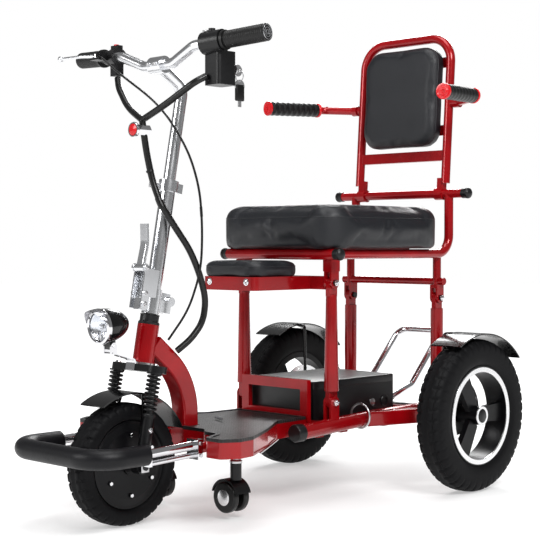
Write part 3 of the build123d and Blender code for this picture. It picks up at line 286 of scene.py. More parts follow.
# %% Hand out the finishes
worn_by = {
    "red_paint": red_paint, "black_paint": black_paint, "chrome": chrome, "polished_aluminium": aluminium,
    "steel": zinc, "rear_tyre": tyre_rubber, "front_tyre": tyre_rubber, "rim_black": rim_black,
    "motor": rim_black, "fender_plastic": fender_black, "black_plastic": plastic,
    "case_plastic": case_plastic, "cell_wrap": cell_wrap, "vinyl": vinyl, "mat_rubber": deck_rubber,
    "grip_rubber": grip_rubber, "foam": foam, "cable_black": soft_plastic, "lens": lens_glass,
    "lamp_black": fender_black, "red_plastic": red_plastic, "caster_tread": caster_rubber,
}
for part in frame["record"]["subparts"]:
    shell = nodes[part["node"]]
    shell.data.materials.clear()
    shell.data.materials.append(worn_by[part["material_slot"]])


# %% [markdown]
# ## Pieces made from code
# Most fine parts of a scooter come off a lathe, so the first helper turns an outline about an axis. Smooth
# shading would blur the lathe's corners, so any edge that turns more than a set angle is kept crisp.

# %% Turned pieces
def add_piece(name, mesh, finish, body, smooth=True):
    """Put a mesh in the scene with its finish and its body."""
    piece = bpy.data.objects.new(name, mesh)
    bpy.context.scene.collection.objects.link(piece)
    mesh.materials.append(finish)
    if smooth:
        mesh.shade_smooth()
    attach(piece, body)
    return piece


def faces_to(axis):
    """A turn that takes local Z to an axis."""
    return Vector((0, 0, 1)).rotation_difference(Vector(axis)).to_matrix().to_4x4()


def turned(name, centre, axis, outline, finish, body, steps=64):
    """Turn a closed outline of (radius, along) points about an axis."""
    shape = bmesh.new()
    rings = []
    for step in range(steps):
        angle = 2 * math.pi * step / steps
        rings.append([
            shape.verts.new((radius * math.cos(angle), radius * math.sin(angle), along))
            for radius, along in outline
        ])
    count = len(outline)
    for step in range(steps):
        near, far = rings[step], rings[(step + 1) % steps]
        for i in range(count):
            j = (i + 1) % count
            shape.faces.new((near[i], far[i], far[j], near[j]))
    bmesh.ops.remove_doubles(shape, verts=shape.verts, dist=1e-6)
    bmesh.ops.dissolve_degenerate(shape, edges=shape.edges, dist=1e-7)
    bmesh.ops.recalc_face_normals(shape, faces=shape.faces)
    shape.transform(Matrix.Translation(centre) @ faces_to(axis))
    mesh = bpy.data.meshes.new(name)
    shape.to_mesh(mesh)
    shape.free()
    piece = add_piece(name, mesh, finish, body)
    sharpen(piece)
    return piece


def sharpen(piece, angle=35.0):
    """Smooth shading that keeps real corners crisp."""
    mesh = piece.data
    shape = bmesh.new()
    shape.from_mesh(mesh)
    for edge in shape.edges:
        if len(edge.link_faces) == 2:
            edge.smooth = edge.calc_face_angle() < math.radians(angle)
    shape.to_mesh(mesh)
    shape.free()


def hexagon(name, centre, axis, width, height, finish, body):
    """A domed hexagon bolt head."""
    r = width / math.sqrt(3)
    outline = [(0, 0), (r, 0), (r, height * 0.75), (r * 0.82, height), (0, height)]
    return turned(name, centre, axis, outline, finish, body, steps=6)


print("turned pieces ready")


# %% [markdown]
# The rest are blocks with rounded edges and round bars. A bar is drawn as a curve with a bevel, because a
# curve bends smoothly through a few points, and it is then turned into a mesh.

# %% Blocks and bars
def block(name, low, high, rounding, finish, body, segments=3):
    """A block between two corners with every edge rounded."""
    shape = bmesh.new()
    bmesh.ops.create_cube(shape, size=1.0)
    size = Vector(high) - Vector(low)
    shape.transform(Matrix.Translation((Vector(low) + Vector(high)) / 2) @ Matrix.Diagonal((*size, 1.0)))
    bmesh.ops.bevel(
        shape, geom=shape.edges, offset=rounding, segments=segments, profile=0.5, affect="EDGES",
    )
    mesh = bpy.data.meshes.new(name)
    shape.to_mesh(mesh)
    shape.free()
    return add_piece(name, mesh, finish, body)


def bar(name, points, radius, finish, body, looped=False):
    """A round bar along a smooth line near the points."""
    curve = bpy.data.curves.new(name, "CURVE")
    curve.dimensions = "3D"
    curve.bevel_depth = radius
    curve.bevel_resolution = 4
    curve.use_fill_caps = True
    spline = curve.splines.new("NURBS")
    spline.points.add(len(points) - 1)
    for point, spot in zip(spline.points, points):
        point.co = (*spot, 1.0)
    spline.order_u = 3
    spline.use_endpoint_u = not looped
    spline.use_cyclic_u = looped
    drawn = bpy.data.objects.new(name, curve)
    bpy.context.scene.collection.objects.link(drawn)
    bpy.context.view_layer.update()
    mesh = bpy.data.meshes.new_from_object(drawn.evaluated_get(bpy.context.evaluated_depsgraph_get()))
    bpy.data.objects.remove(drawn)
    return add_piece(name, mesh, finish, body)


print("blocks and bars ready")


# %% [markdown]
# ## The frame's own landmarks
# The wheel centres and the steering axis are read from the CAD model. Most other places are measured back
# from the rear axle, or along the steering axis.

# %% Landmarks
def middle(node):
    low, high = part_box(node)
    return (low + high) / 2


rear_hubs = {"left": middle("rear_tyre_left"), "right": middle("rear_tyre_right")}
front_hub = middle("front_tyre")
axle_y = rear_hubs["left"].y
steer_axis = Vector(next(j["axis"] for j in frame["joints"] if j["name"] == "steering")).normalized()
steer_back = Vector((0, steer_axis.z, -steer_axis.y))
steer_foot = Vector(next(j["pos_m"] for j in frame["joints"] if j["name"] == "steering")) - steer_axis * 0.25


def on_steer(x, back, along):
    """A point across, behind and along the steering axis."""
    return steer_foot + Vector((x, 0, 0)) + steer_back * back + steer_axis * along


def behind_axle(x, back, up):
    """A point across, behind the rear axle, and above the floor."""
    return Vector((x, axle_y + back, up))


print("rear axle at y =", round(axle_y, 4))


# %% [markdown]
# ## Tyres
# A tyre's shape is a turned profile, but what the eye reads is its tread: blocks with grooves between them.
# The rubber ring is made from many thin slices, and each slice's outer points are pressed in where a groove
# passes, so the tread is real geometry.

# %% Tread
SECTION_POINTS = 64
SECTION_POWER = 0.62  # under 1 makes the tyre's section squarer than an ellipse


def tyre(name, node, centre, radius, bead, width, shoulder, blocks, groove, body):
    """A tyre with a pressed tread, standing for a CAD tyre."""
    per_block = 8
    steps = blocks * per_block
    section = []
    for k in range(SECTION_POINTS):
        angle = 2 * math.pi * k / SECTION_POINTS
        cosine, sine = math.cos(angle), math.sin(angle)
        x = math.copysign(abs(cosine) ** SECTION_POWER, cosine) * width / 2
        r = math.copysign(abs(sine) ** SECTION_POWER, sine)
        r = (radius + bead) / 2 + r * (radius - bead) / 2
        section.append((x, r))
    shape = bmesh.new()
    rings = []
    for step in range(steps):
        turn = 2 * math.pi * step / steps
        phase = step % per_block
        ring = []
        for x, r in section:
            reach = (r - bead) / (radius - bead)
            side = abs(x) / (width / 2)
            shift = 2 if x > 0 else -2
            slot_here = (phase + int(shift * side * 1.5)) % per_block in (0, 1)
            depth = 0.0
            if reach > shoulder:
                if side < 0.1:
                    depth = groove * 0.8
                elif side > 0.28 and slot_here:
                    depth = groove
                elif 0.5 < side < 0.58:
                    depth = groove * 0.7
            r_here = r - depth
            ring.append(shape.verts.new((
                centre.x + x, centre.y + r_here * math.cos(turn), centre.z + r_here * math.sin(turn),
            )))
        rings.append(ring)
    for step in range(steps):
        near, far = rings[step], rings[(step + 1) % steps]
        for i in range(SECTION_POINTS):
            j = (i + 1) % SECTION_POINTS
            shape.faces.new((near[i], near[j], far[j], far[i]))
    bmesh.ops.recalc_face_normals(shape, faces=shape.faces)
    mesh = bpy.data.meshes.new(name)
    shape.to_mesh(mesh)
    shape.free()
    piece = add_piece(name, mesh, tyre_rubber, body)
    sharpen(piece, 40.0)
    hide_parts(node)
    return piece


print("tread helper ready")


# %% [markdown]
# ## Rear brakes
# Each rear wheel carries a steel disc with drilled holes, and the frame carries the caliper that grips it.
# The disc starts as a flat grid of faces round a ring. Leaving faces out makes the holes, and giving the
# sheet a thickness makes their walls, which is simpler than cutting each hole out of a solid disc.

# %% Brake rotor
def brake_rotor(side, hub, out):
    """A drilled disc on the inner side of a rear wheel, on its own sleeve."""
    inner, outer, thick = 0.048, 0.083, 0.0022
    around, across = 72, 7
    shape = bmesh.new()
    grid = []
    radii = [inner + (outer - inner) * j / across for j in range(across + 1)]
    for i in range(around):
        angle = 2 * math.pi * i / around
        grid.append([shape.verts.new((0, r * math.cos(angle), r * math.sin(angle))) for r in radii])
    for i in range(around):
        for j in range(across):
            drilled = (i % 4 == 0 and j == 5) or (i % 4 == 2 and j == 3) or (i % 12 < 8 and j in (0, 1))
            if not drilled:
                k = (i + 1) % around
                shape.faces.new((grid[i][j], grid[k][j], grid[k][j + 1], grid[i][j + 1]))
    loose = [v for v in shape.verts if not v.link_faces]
    bmesh.ops.delete(shape, geom=loose, context="VERTS")
    bmesh.ops.solidify(shape, geom=shape.faces, thickness=thick)
    bmesh.ops.recalc_face_normals(shape, faces=shape.faces)
    shape.transform(Matrix.Translation(hub - Vector((out * 0.0395, 0, 0))))
    mesh = bpy.data.meshes.new(f"rotor_{side}")
    shape.to_mesh(mesh)
    shape.free()
    rotor = add_piece(f"rotor_{side}", mesh, machined, f"rear_wheel_{side}")
    sharpen(rotor)
    turned(f"rotor_sleeve_{side}", hub - Vector((out * 0.043, 0, 0)), (out, 0, 0), [
        (0.013, 0), (0.052, 0), (0.052, 0.003), (0.022, 0.005), (0.022, 0.021), (0.013, 0.021),
    ], rim_black, f"rear_wheel_{side}", 48)
    caliper_at = hub + Vector((-out * 0.041, -0.070, 0.020))
    caliper_half = Vector((0.013, 0.012, 0.022))
    block(f"caliper_{side}", caliper_at - caliper_half, caliper_at + caliper_half,
          0.004, black_paint, "frame")


print("brake helper ready")


# %% [markdown]
# ## Wheels
# The rear wheels are black castings with a bright machined lip and hub ring. Both rings are turned pieces
# laid on the CAD rim, so the rim keeps its own mesh.

# %% Fit the wheels
REAR_R, REAR_BEAD, REAR_W = 0.178, 0.111, 0.068
FRONT_R, FRONT_BEAD, FRONT_W = 0.126, 0.089, 0.060
for side, hub in rear_hubs.items():
    tyre(f"tread_{side}", f"rear_tyre_{side}", hub, REAR_R, REAR_BEAD, REAR_W, 0.62, 44, 0.0035,
         f"rear_wheel_{side}")
    out = 1 if side == "left" else -1
    for name, r_in, r_out, offset in (
        ("lip", 0.1015, 0.1135, 0.0285), ("hub_ring", 0.0155, 0.0225, 0.0305),
    ):
        turned(f"{name}_{side}", hub + Vector((out * offset, 0, 0)), (out, 0, 0), [
            (r_in, -0.001), (r_out, -0.001), (r_out, 0.0008), (r_out - 0.001, 0.0016),
            (r_in + 0.001, 0.0016), (r_in, 0.0008),
        ], machined, f"rear_wheel_{side}", 128)
    turned(f"hub_cap_{side}", hub + Vector((out * 0.03, 0, 0)), (out, 0, 0), [
        (0, -0.001), (0.0155, -0.001), (0.0155, 0.002), (0.012, 0.0035), (0, 0.004),
    ], plastic, f"rear_wheel_{side}", 48)
    brake_rotor(side, hub, out)
tyre("tread_front", "front_tyre", front_hub, FRONT_R, FRONT_BEAD, FRONT_W, 0.55, 36, 0.003,
     "front_wheel")
print("wheels ready:", list(rear_hubs), "and front")


# %% [markdown]
# ## Cushions
# Each pad is foam in a vinyl cover. The foam pushes the panels out, and the seams hold them in, so the form
# is crowned in the middle and pulled in at the welt. A rounded block is remeshed, blown up by the cloth
# solver for a few frames, and kept from moving too far.

# %% Cover and filling
CLOTH_FRAMES = 18


def rounded_slab(width, depth, height, corner, edge, under):
    """A slab with round corners, a soft upper edge and a tighter lower one."""
    shape = bmesh.new()
    bmesh.ops.create_cube(shape, size=1.0)
    shape.transform(Matrix.Diagonal((width, depth, height, 1.0)))
    uprights = [e for e in shape.edges if abs(e.verts[0].co.z - e.verts[1].co.z) > height / 2]
    bmesh.ops.bevel(shape, geom=uprights, offset=corner, segments=10, profile=0.5, affect="EDGES")
    for level, rounding in ((height / 2, edge), (-height / 2, under)):
        rims = [e for e in shape.edges if all(abs(v.co.z - level) < 1e-6 for v in e.verts)
                and e.calc_face_angle() > 1.0]
        bmesh.ops.bevel(
            shape, geom=rims, offset=rounding, segments=4, profile=0.5, affect="EDGES",
        )
    mesh = bpy.data.meshes.new("slab")
    shape.to_mesh(mesh)
    shape.free()
    return mesh


def puff(mesh, voxel, pressure, limit, place):
    """Remesh a form, inflate it as cloth, and cap how far any point moves."""
    worker = bpy.data.objects.new("form", mesh)
    bpy.context.scene.collection.objects.link(worker)
    remesh = worker.modifiers.new("voxels", "REMESH")
    remesh.mode = "VOXEL"
    remesh.voxel_size = voxel
    bpy.context.view_layer.update()
    solid = bpy.data.meshes.new_from_object(
        worker.evaluated_get(bpy.context.evaluated_depsgraph_get()))
    worker.modifiers.remove(remesh)
    worker.data = solid
    before = [v.co.copy() for v in solid.vertices]
    cloth = worker.modifiers.new("cover", "CLOTH")
    cloth.settings.use_pressure = True
    cloth.settings.uniform_pressure_force = pressure
    cloth.settings.effector_weights.gravity = 0.0
    cloth.settings.tension_stiffness = 30.0
    cloth.settings.compression_stiffness = 12.0
    scene = bpy.context.scene
    for step in range(1, CLOTH_FRAMES + 1):
        scene.frame_set(step)
    final = bpy.data.meshes.new_from_object(
        worker.evaluated_get(bpy.context.evaluated_depsgraph_get()))
    worker.modifiers.remove(cloth)
    for vertex, start in zip(final.vertices, before):
        moved = vertex.co - start
        if moved.length > limit:
            vertex.co = start + moved * (limit / moved.length)
    worker.data = final
    scene.frame_set(1)
    smooth = worker.modifiers.new("settle", "SMOOTH")
    smooth.iterations = 4
    fine = worker.modifiers.new("fine", "SUBSURF")
    fine.levels = fine.render_levels = 1
    bpy.context.view_layer.update()
    done = bpy.data.meshes.new_from_object(worker.evaluated_get(bpy.context.evaluated_depsgraph_get()))
    bpy.data.objects.remove(worker)
    done.transform(place)
    return done


print("cushion helpers ready")


# %% [markdown]
# A welt is the piped seam where two panels of vinyl meet. It is laid on after the pad is blown up, because
# remeshing removes anything thinner than a voxel. Rays cast inwards find the pad's own skin, so the piping
# follows every swell of it.

# %% Piped seams
WELT_R = 0.0016


def welt(name, pad, width, depth, corner, level, place, body):
    """A piped seam laid on a pad's own surface at one level."""
    skin = BVHTree.FromPolygons(
        [v.co for v in pad.data.vertices], [list(p.vertices) for p in pad.data.polygons],
    )
    outline = []
    for cx, cy, start in ((1, 1, 0), (-1, 1, 90), (-1, -1, 180), (1, -1, 270)):
        for k in range(7):
            angle = math.radians(start + 15 * k)
            outline.append(Vector((
                cx * (width / 2 - corner) + corner * math.cos(angle),
                cy * (depth / 2 - corner) + corner * math.sin(angle), level,
            )))
    points = []
    for near, far in zip(outline, outline[1:] + outline[:1]):
        runs = max(1, round((far - near).length / 0.012))
        for k in range(runs):
            spot = near.lerp(far, k / runs)
            core = place @ Vector((spot.x * 0.4, spot.y * 0.4, level))
            outward = ((place @ spot) - core).normalized()
            hit = skin.ray_cast(core + outward * 0.5, -outward)[0]
            points.append((hit if hit else place @ spot) - outward * WELT_R * 0.2)
    return bar(name, points, WELT_R, vinyl, body, looped=True)


print("seam helper ready")


# %% [markdown]
# The rider's seat is a deep cushion, and the child's seat in front of it a thin one. Both rest flat on their
# frames, so every point is held above the level of the CAD pad's underside.

# %% Seat pads
VOXEL = 0.005
PRESSURE = 4.0
pads = {
    "seat_pad": ("seat_cushion", "seat", 0.062, 0.024, 0.008),
    "child_pad": ("child_seat_pad", "seat", 0.034, 0.010, 0.004),
}
for name, (node, body, corner, edge, swell) in pads.items():
    low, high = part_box(node)
    size = high - low
    centre = (low + high) / 2
    slab = rounded_slab(size.x - 2 * swell, size.y - 2 * swell, size.z - swell * 0.6, corner, edge, 0.006)
    place = Matrix.Translation(centre + Vector((0, 0, -swell * 0.3)))
    pad = add_piece(name, puff(slab, VOXEL, PRESSURE, swell, place), vinyl, body)
    floor_level = low.z
    for vertex in pad.data.vertices:
        vertex.co.z = max(vertex.co.z, floor_level)
    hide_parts(node)
    seam_at = size.z * 0.5 - edge
    welt(f"{name}_welt", pad, size.x, size.y, corner, seam_at, place, body)
print("seat pads ready")

# %% [markdown]
# The backrest pad leans with its tubes, so it is made lying down and then stood up by a matrix.

# %% Backrest pad
recline = math.radians(4.0)
back_low, back_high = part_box("backrest_pad")
back_width = back_high.x - back_low.x
back_height = 0.268
back_thick = 0.042
back_corner = 0.048
back_swell = 0.006
back_face = Matrix((
    (1, 0, 0),
    (0, math.sin(recline), -math.cos(recline)),
    (0, math.cos(recline), math.sin(recline)),
))
back_centre = (back_low + back_high) / 2
back_place = Matrix.Translation(back_centre) @ back_face.to_4x4()
slab = rounded_slab(back_width - 0.010, back_height - 0.010, back_thick - 0.006, back_corner, 0.012, 0.004)
back_form = puff(slab, VOXEL, PRESSURE, back_swell, back_place)
back_pad = add_piece("back_pad", back_form, vinyl, "backrest")
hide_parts("backrest_pad")
welt("back_pad_welt", back_pad, back_width, back_height, back_corner, 0.007, back_place, "backrest")
print("backrest pad ready")


# %% [markdown]
# ## Bolts and caps
# Small bright bolts and black ball caps tell the eye how the tubes are held together. A dome bolt is a short
# turned outline, so one helper makes them all.

# %% Bolts and ball caps
def dome_bolt(name, centre, axis, radius, body, finish=chrome):
    """A button-head bolt on its washer."""
    turned(name, centre, axis, [
        (0, 0), (radius, 0), (radius, radius * 0.16), (radius * 0.78, radius * 0.2),
        (radius * 0.66, radius * 0.5), (radius * 0.34, radius * 0.62), (radius * 0.3, radius * 0.4),
        (0, radius * 0.4),
    ], finish, body, 32)


def ball_cap(name, centre, axis, radius, body):
    """A moulded ball pressed over a tube's end."""
    outline = [(0, 0), (radius, 0), (radius, radius * 0.25)]
    for k in range(1, 9):
        angle = math.radians(90 * k / 9)
        outline.append((radius * math.cos(angle), radius * 0.25 + radius * 0.62 * math.sin(angle)))
    outline.append((0, radius * 0.87))
    turned(name, centre, axis, outline, plastic, body, 40)


sides = (("left", 1), ("right", -1))
leg_face = 0.139 + 0.0161  # from the middle to the outer face of a leg's bracket
for side, out in sides:
    axis = (out, 0, 0)
    ball_cap(f"seat_cap_{side}", behind_axle(out * 0.1805, -0.345, 0.554), axis, 0.0135, "seat")
    ball_cap(f"back_cap_{side}", behind_axle(out * 0.2045, 0.097, 0.701), axis, 0.0133, "seat")
    dome_bolt(f"child_bolt_{side}", behind_axle(out * 0.058, -0.5122, 0.494), (0, -1, 0), 0.0078, "seat")
    for name, back, up, body in (
        ("foot_bolt", -0.324, 0.222, "frame"), ("rear_foot_bolt", 0.064, 0.178, "frame"),
        ("top_bolt", -0.324, 0.490, "seat"), ("rear_top_bolt", 0.064, 0.446, "seat"),
    ):
        dome_bolt(f"{name}_{side}", behind_axle(out * leg_face, back, up), axis, 0.0068, body)
    for k in range(2):
        turned(f"bumper_bolt_{side}_{k}", behind_axle(out * 0.1562, -0.7375, 0.1515 + 0.024 * k), axis, [
            (0, 0), (0.004, 0), (0.004, 0.0025), (0, 0.0025),
        ], zinc, "frame", 6)
    for k in range(6):
        angle = math.radians(30 + 60 * k)
        spot = front_hub + Vector((out * 0.0297, 0.062 * math.cos(angle), 0.062 * math.sin(angle)))
        hexagon(f"motor_bolt_{side}_{k}", spot, axis, 0.0075, 0.0028, chrome, "front_wheel")
print("bolts and caps ready")


# %% [markdown]
# ## Grips
# Each handlebar grip is a rubber sleeve with fine rings, closed by a cap with raised circles in bright metal that
# paint the highlights caught on the cap's ridges. The armrest grips have a coarser wave and a red collar and cap
# at their ends.

# %% Grips
bar_rise = behind_axle(0.115, -0.718, 0.980)
bar_tip = behind_axle(0.293, -0.686, 0.992)
bar_line = (bar_tip - bar_rise).normalized()


def on_bar(out, x):
    """A point on the straight end of the handlebar, by its distance across."""
    spot = bar_rise + bar_line * ((x - bar_rise.x) / bar_line.x)
    return Vector((out * spot.x, spot.y, spot.z))


def ribbed_sleeve(name, start, end, core, low, high, ribs, finish, body):
    """A sleeve round a bar whose outside rises and falls in rings."""
    length = (end - start).length
    outline = [(core, 0.0)]
    steps = ribs * 6
    for k in range(steps + 1):
        swing = 0.5 - 0.5 * math.cos(2 * math.pi * k / 6)
        outline.append((low + (high - low) * swing, length * k / steps))
    outline.append((core, length))
    return turned(name, start, end - start, outline, finish, body, 48)


for body, out in (("throttle_grip", 1), ("stem_upper", -1)):
    along = (on_bar(out, 0.29) - on_bar(out, 0.19)).normalized()
    ribbed_sleeve(f"sleeve_{body}", on_bar(out, 0.198), on_bar(out, 0.287), 0.0165, 0.0171, 0.0179, 20,
                  grip_rubber, body)
    cap_at = on_bar(out, 0.293)
    turned(f"cap_{body}", cap_at - along * 0.003, along, [
        (0, 0), (0.0172, 0), (0.0178, 0.0015), (0.0168, 0.0036), (0, 0.0036),
    ], plastic, body, 48)
    # Three raised rings of bright metal on the cap: painted highlights standing for the light caught on the cap's
    # ridge edges.
    for k, radius in enumerate((0.0045, 0.0095, 0.0145)):
        turned(f"cap_ring_{body}_{k}", cap_at, along, [
            (radius - 0.0009, 0.0002), (radius + 0.0009, 0.0002),
            (radius + 0.0006, 0.0013), (radius - 0.0006, 0.0013),
        ], aluminium, body, 40)

for side, out in sides:
    body = f"armrest_{side}"
    corner = behind_axle(out * 0.246, 0.080, 0.931)
    tip = behind_axle(out * 0.280, -0.099, 0.926)
    along = (tip - corner).normalized()
    start = corner + along * 0.022
    ribbed_sleeve(f"arm_sleeve_{side}", start + along * 0.006, tip - along * 0.004, 0.0160, 0.0168, 0.0180, 9,
                  grip_rubber, body)
    turned(f"arm_collar_{side}", start, along, [
        (0.0165, -0.001), (0.0184, -0.001), (0.0190, 0.001), (0.0190, 0.004),
        (0.0180, 0.006), (0.0165, 0.006),
    ], red_plastic, body, 48)
    turned(f"arm_disc_{side}", tip, along, [
        (0.0, -0.003), (0.0184, -0.003), (0.0190, -0.001), (0.0182, 0.0018),
        (0.0150, 0.0022), (0.0140, 0.0014), (0.0105, 0.0014), (0.0095, 0.0024),
        (0.0040, 0.0024), (0.0034, 0.0006), (0.0, 0.0006),
    ], red_plastic, body, 56)
    for k, back in enumerate((0.083, 0.100)):
        rivet_at = behind_axle(out * (0.238 - 0.018 * k), back, 0.9405)
        dome_bolt(f"arm_rivet_{side}_{k}", rivet_at, (0, 0, 1), 0.003, body)
print("grips ready")


# %% [markdown]
# ## Headlight
# The lamp is an egg-shaped shell with a bright brim over its lens. Behind the glass, a polished dish and a
# small bulb give the lens something to show.

# %% Headlight
lamp_axis = Vector((0, -math.cos(math.radians(4)), -math.sin(math.radians(4))))
lamp_front = behind_axle(0, -0.842, 0.412) + lamp_axis * 0.030
lamp_top = lamp_axis.cross(Vector((1, 0, 0))).normalized()
if lamp_top.z < 0:
    lamp_top = -lamp_top

turned("lamp_bezel", lamp_front, lamp_axis, [
    (0.0295, -0.004), (0.0368, -0.004), (0.0374, 0.0), (0.0362, 0.004), (0.0318, 0.006),
    (0.0295, 0.003),
], chrome, "headlight", 72)
dish = [(0.006, -0.0078)]
for k in range(7):
    dish.append((0.006 + 0.0235 * k / 6, -0.0075 + 0.0066 * (k / 6) ** 2))
dish += [(0.0295, -0.0079), (0.006, -0.0079)]
turned("lamp_dish", lamp_front, lamp_axis, dish, chrome, "headlight", 72)
turned("lamp_bulb", lamp_front, lamp_axis, [
    (0, -0.0078), (0.005, -0.0078), (0.005, -0.004), (0.0035, -0.002), (0, -0.0014),
], machined, "headlight", 24)
glass = turned("lamp_glass", lamp_front, lamp_axis, [
    (0, 0.0018), (0.010, 0.0014), (0.020, 0.0002), (0.0292, -0.0018),
    (0.0292, -0.0002), (0.020, 0.0020), (0.010, 0.0032), (0, 0.0036),
], lens_glass, "headlight", 72)
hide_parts("headlight_lens")


def lamp_brim():
    """A bright brim that reaches forward over the upper half of the lens."""
    shape = bmesh.new()
    rows = []
    for i in range(25):
        angle = math.radians(-80 + 160 * i / 24)
        reach = 0.005 + 0.021 * math.cos(angle) ** 1.5
        row = []
        for k in range(7):
            t = k / 6
            radius = 0.0370 - 0.0030 * t + 0.001 * math.sin(math.pi * t)
            spoke = lamp_top * math.cos(angle) + Vector((1, 0, 0)) * math.sin(angle)
            row.append(shape.verts.new(lamp_front + spoke * radius + lamp_axis * (reach * t)))
        rows.append(row)
    for near, far in zip(rows, rows[1:]):
        for k in range(6):
            shape.faces.new((near[k], near[k + 1], far[k + 1], far[k]))
    bmesh.ops.solidify(shape, geom=shape.faces, thickness=0.0012)
    bmesh.ops.recalc_face_normals(shape, faces=shape.faces)
    mesh = bpy.data.meshes.new("lamp_brim")
    shape.to_mesh(mesh)
    shape.free()
    sharpen(add_piece("lamp_brim", mesh, chrome, "headlight"))


lamp_brim()
for k in range(5):
    x = -0.018 + 0.009 * k
    drop = math.sqrt(0.028 ** 2 - x ** 2)
    low = lamp_front + Vector((x, 0, 0)) - lamp_top * drop + lamp_axis * 0.004
    high = lamp_front + Vector((x, 0, 0)) - lamp_top * 0.008 + lamp_axis * 0.005
    bulge = (low + high) / 2 + lamp_axis * 0.002
    bar(f"lamp_rib_{k}", [low, bulge, high], 0.0009, chrome, "headlight")
print("headlight ready")


# %% [markdown]
# ## Front end, clasp and controls
# The clasp that gathers the wires carries a red reflector. Dark cups cover the bearings above the head tube,
# and thin seals close the tops of the fork legs.

# %% Front end details
turned("reflector_rim", behind_axle(0, -0.7795, 0.813), (0, -1, 0), [
    (0.0, -0.002), (0.0155, -0.002), (0.0160, 0.001), (0.0150, 0.004),
    (0.0128, 0.004), (0.0122, 0.002), (0.0, 0.002),
], chrome, "stem_upper", 48)
turned("reflector_red", behind_axle(0, -0.7815, 0.813), (0, -1, 0), [
    (0.0, 0.0), (0.0124, 0.0), (0.0118, 0.0024), (0.0070, 0.0040), (0.0, 0.0046),
], red_plastic, "stem_upper", 40)
turned("headset_cup", on_steer(0, 0, 0.2915), steer_axis, [
    (0.0170, 0), (0.0225, 0), (0.0228, 0.004), (0.0200, 0.007),
    (0.0200, 0.0195), (0.0218, 0.0210), (0.0170, 0.0210),
], plastic, "frame", 56)
fork_x, fork_back = 0.060, -0.017  # where the fork legs stand, across and behind the steering axis
for side, out in sides:
    turned(f"fork_seal_{side}", on_steer(out * fork_x, fork_back, 0.100), steer_axis, [
        (0.0128, 0), (0.0142, 0.001), (0.0142, 0.006), (0.0128, 0.0078),
    ], plastic, "fork_lower", 40)
    turned(f"spring_cup_{side}", on_steer(out * fork_x, fork_back, 0.1885), steer_axis, [
        (0.0086, 0), (0.0158, 0), (0.0160, 0.0034), (0.0086, 0.0034),
    ], black_paint, "steerer", 40)
    dome_bolt(f"fork_bolt_{side}", on_steer(out * 0.0728, fork_back, 0.075), (out, 0, 0), 0.0055,
              "fork_lower")
    dome_bolt(f"crown_bolt_{side}", on_steer(out * fork_x, fork_back, 0.2060), steer_axis, 0.0075, "steerer")
    block(f"axle_washer_{side}", front_hub + Vector((out * 0.0722 - 0.001, -0.010, -0.010)),
          front_hub + Vector((out * 0.0722 + 0.001, 0.010, 0.010)), 0.0006, zinc, "fork_lower")
for k, out in enumerate((-1, 1)):
    for j, (along, shift) in enumerate(((0.404, 0), (0.352, 0.007), (0.330, 0.008))):
        dome_bolt(f"cheek_bolt_{k}_{j}", on_steer(out * (0.0197 + 0.0012), -0.044 + shift, along),
                  (out, 0, 0), 0.0052, "stem", zinc)
for k, x in enumerate((-0.011, 0.011)):
    hexagon(f"clamp_bolt_{k}", behind_axle(x, -0.7330, 0.952), (0, -1, 0), 0.006, 0.004,
            zinc, "stem_upper")
label_at = on_bar(1, 0.150)
block("throttle_lamp", label_at + Vector((-0.006, -0.010, 0.0222)), label_at + Vector((0.006, 0.002, 0.0252)),
      0.0008, zinc, "stem_upper")
turned("lobe_ring", behind_axle(0.165, -0.6555, 0.932), (0, 1, 0), [
    (0.0072, 0), (0.0112, 0), (0.0112, 0.0026), (0.0072, 0.0026),
], zinc, "stem_upper", 40)
fob_top = behind_axle(0.165, -0.637, 0.910)
block("fob_leather", fob_top + Vector((-0.0035, -0.012, -0.040)), fob_top + Vector((0.0035, 0.012, -0.006)),
      0.003, soft_plastic, "key_fob")
print("front end ready")


# %% [markdown]
# ## Cable tie and sleeves
# A tie holds the wires together below the clasp. The loom and the brake cable each have a joint where the
# stem folds away from the frame, and a short sleeve covers it.

# %% Tie and sleeves
loom_top = behind_axle(0.0, -0.748, 0.773)
loom_low = behind_axle(0.026, -0.732, 0.662)
loom_run = (loom_low - loom_top).normalized()
tie_r = 0.0070
tie_at = (loom_top * 0.6 + loom_low * 0.4) + Vector((-0.003, -0.002, 0)) - loom_run * 0.002
turned("loom_tie_0", tie_at, loom_run, [
    (tie_r, 0), (tie_r + 0.0012, 0), (tie_r + 0.0012, 0.004), (tie_r, 0.004),
], plastic, "stem_upper", 32)
for name, radius, spots in (
    ("loom_sleeve", 0.0076, ((0.0215, -0.7333, 0.673), (0.026, -0.732, 0.662), (0.0295, -0.7292, 0.6535))),
    ("brake_sleeve", 0.0031, ((0.0534, -0.6420, 0.655), (0.0544, -0.6420, 0.645), (0.0554, -0.6420, 0.635))),
):
    bar(name, [behind_axle(*spot) for spot in spots], radius, soft_plastic, "stem_upper")
print("tie and sleeves ready")
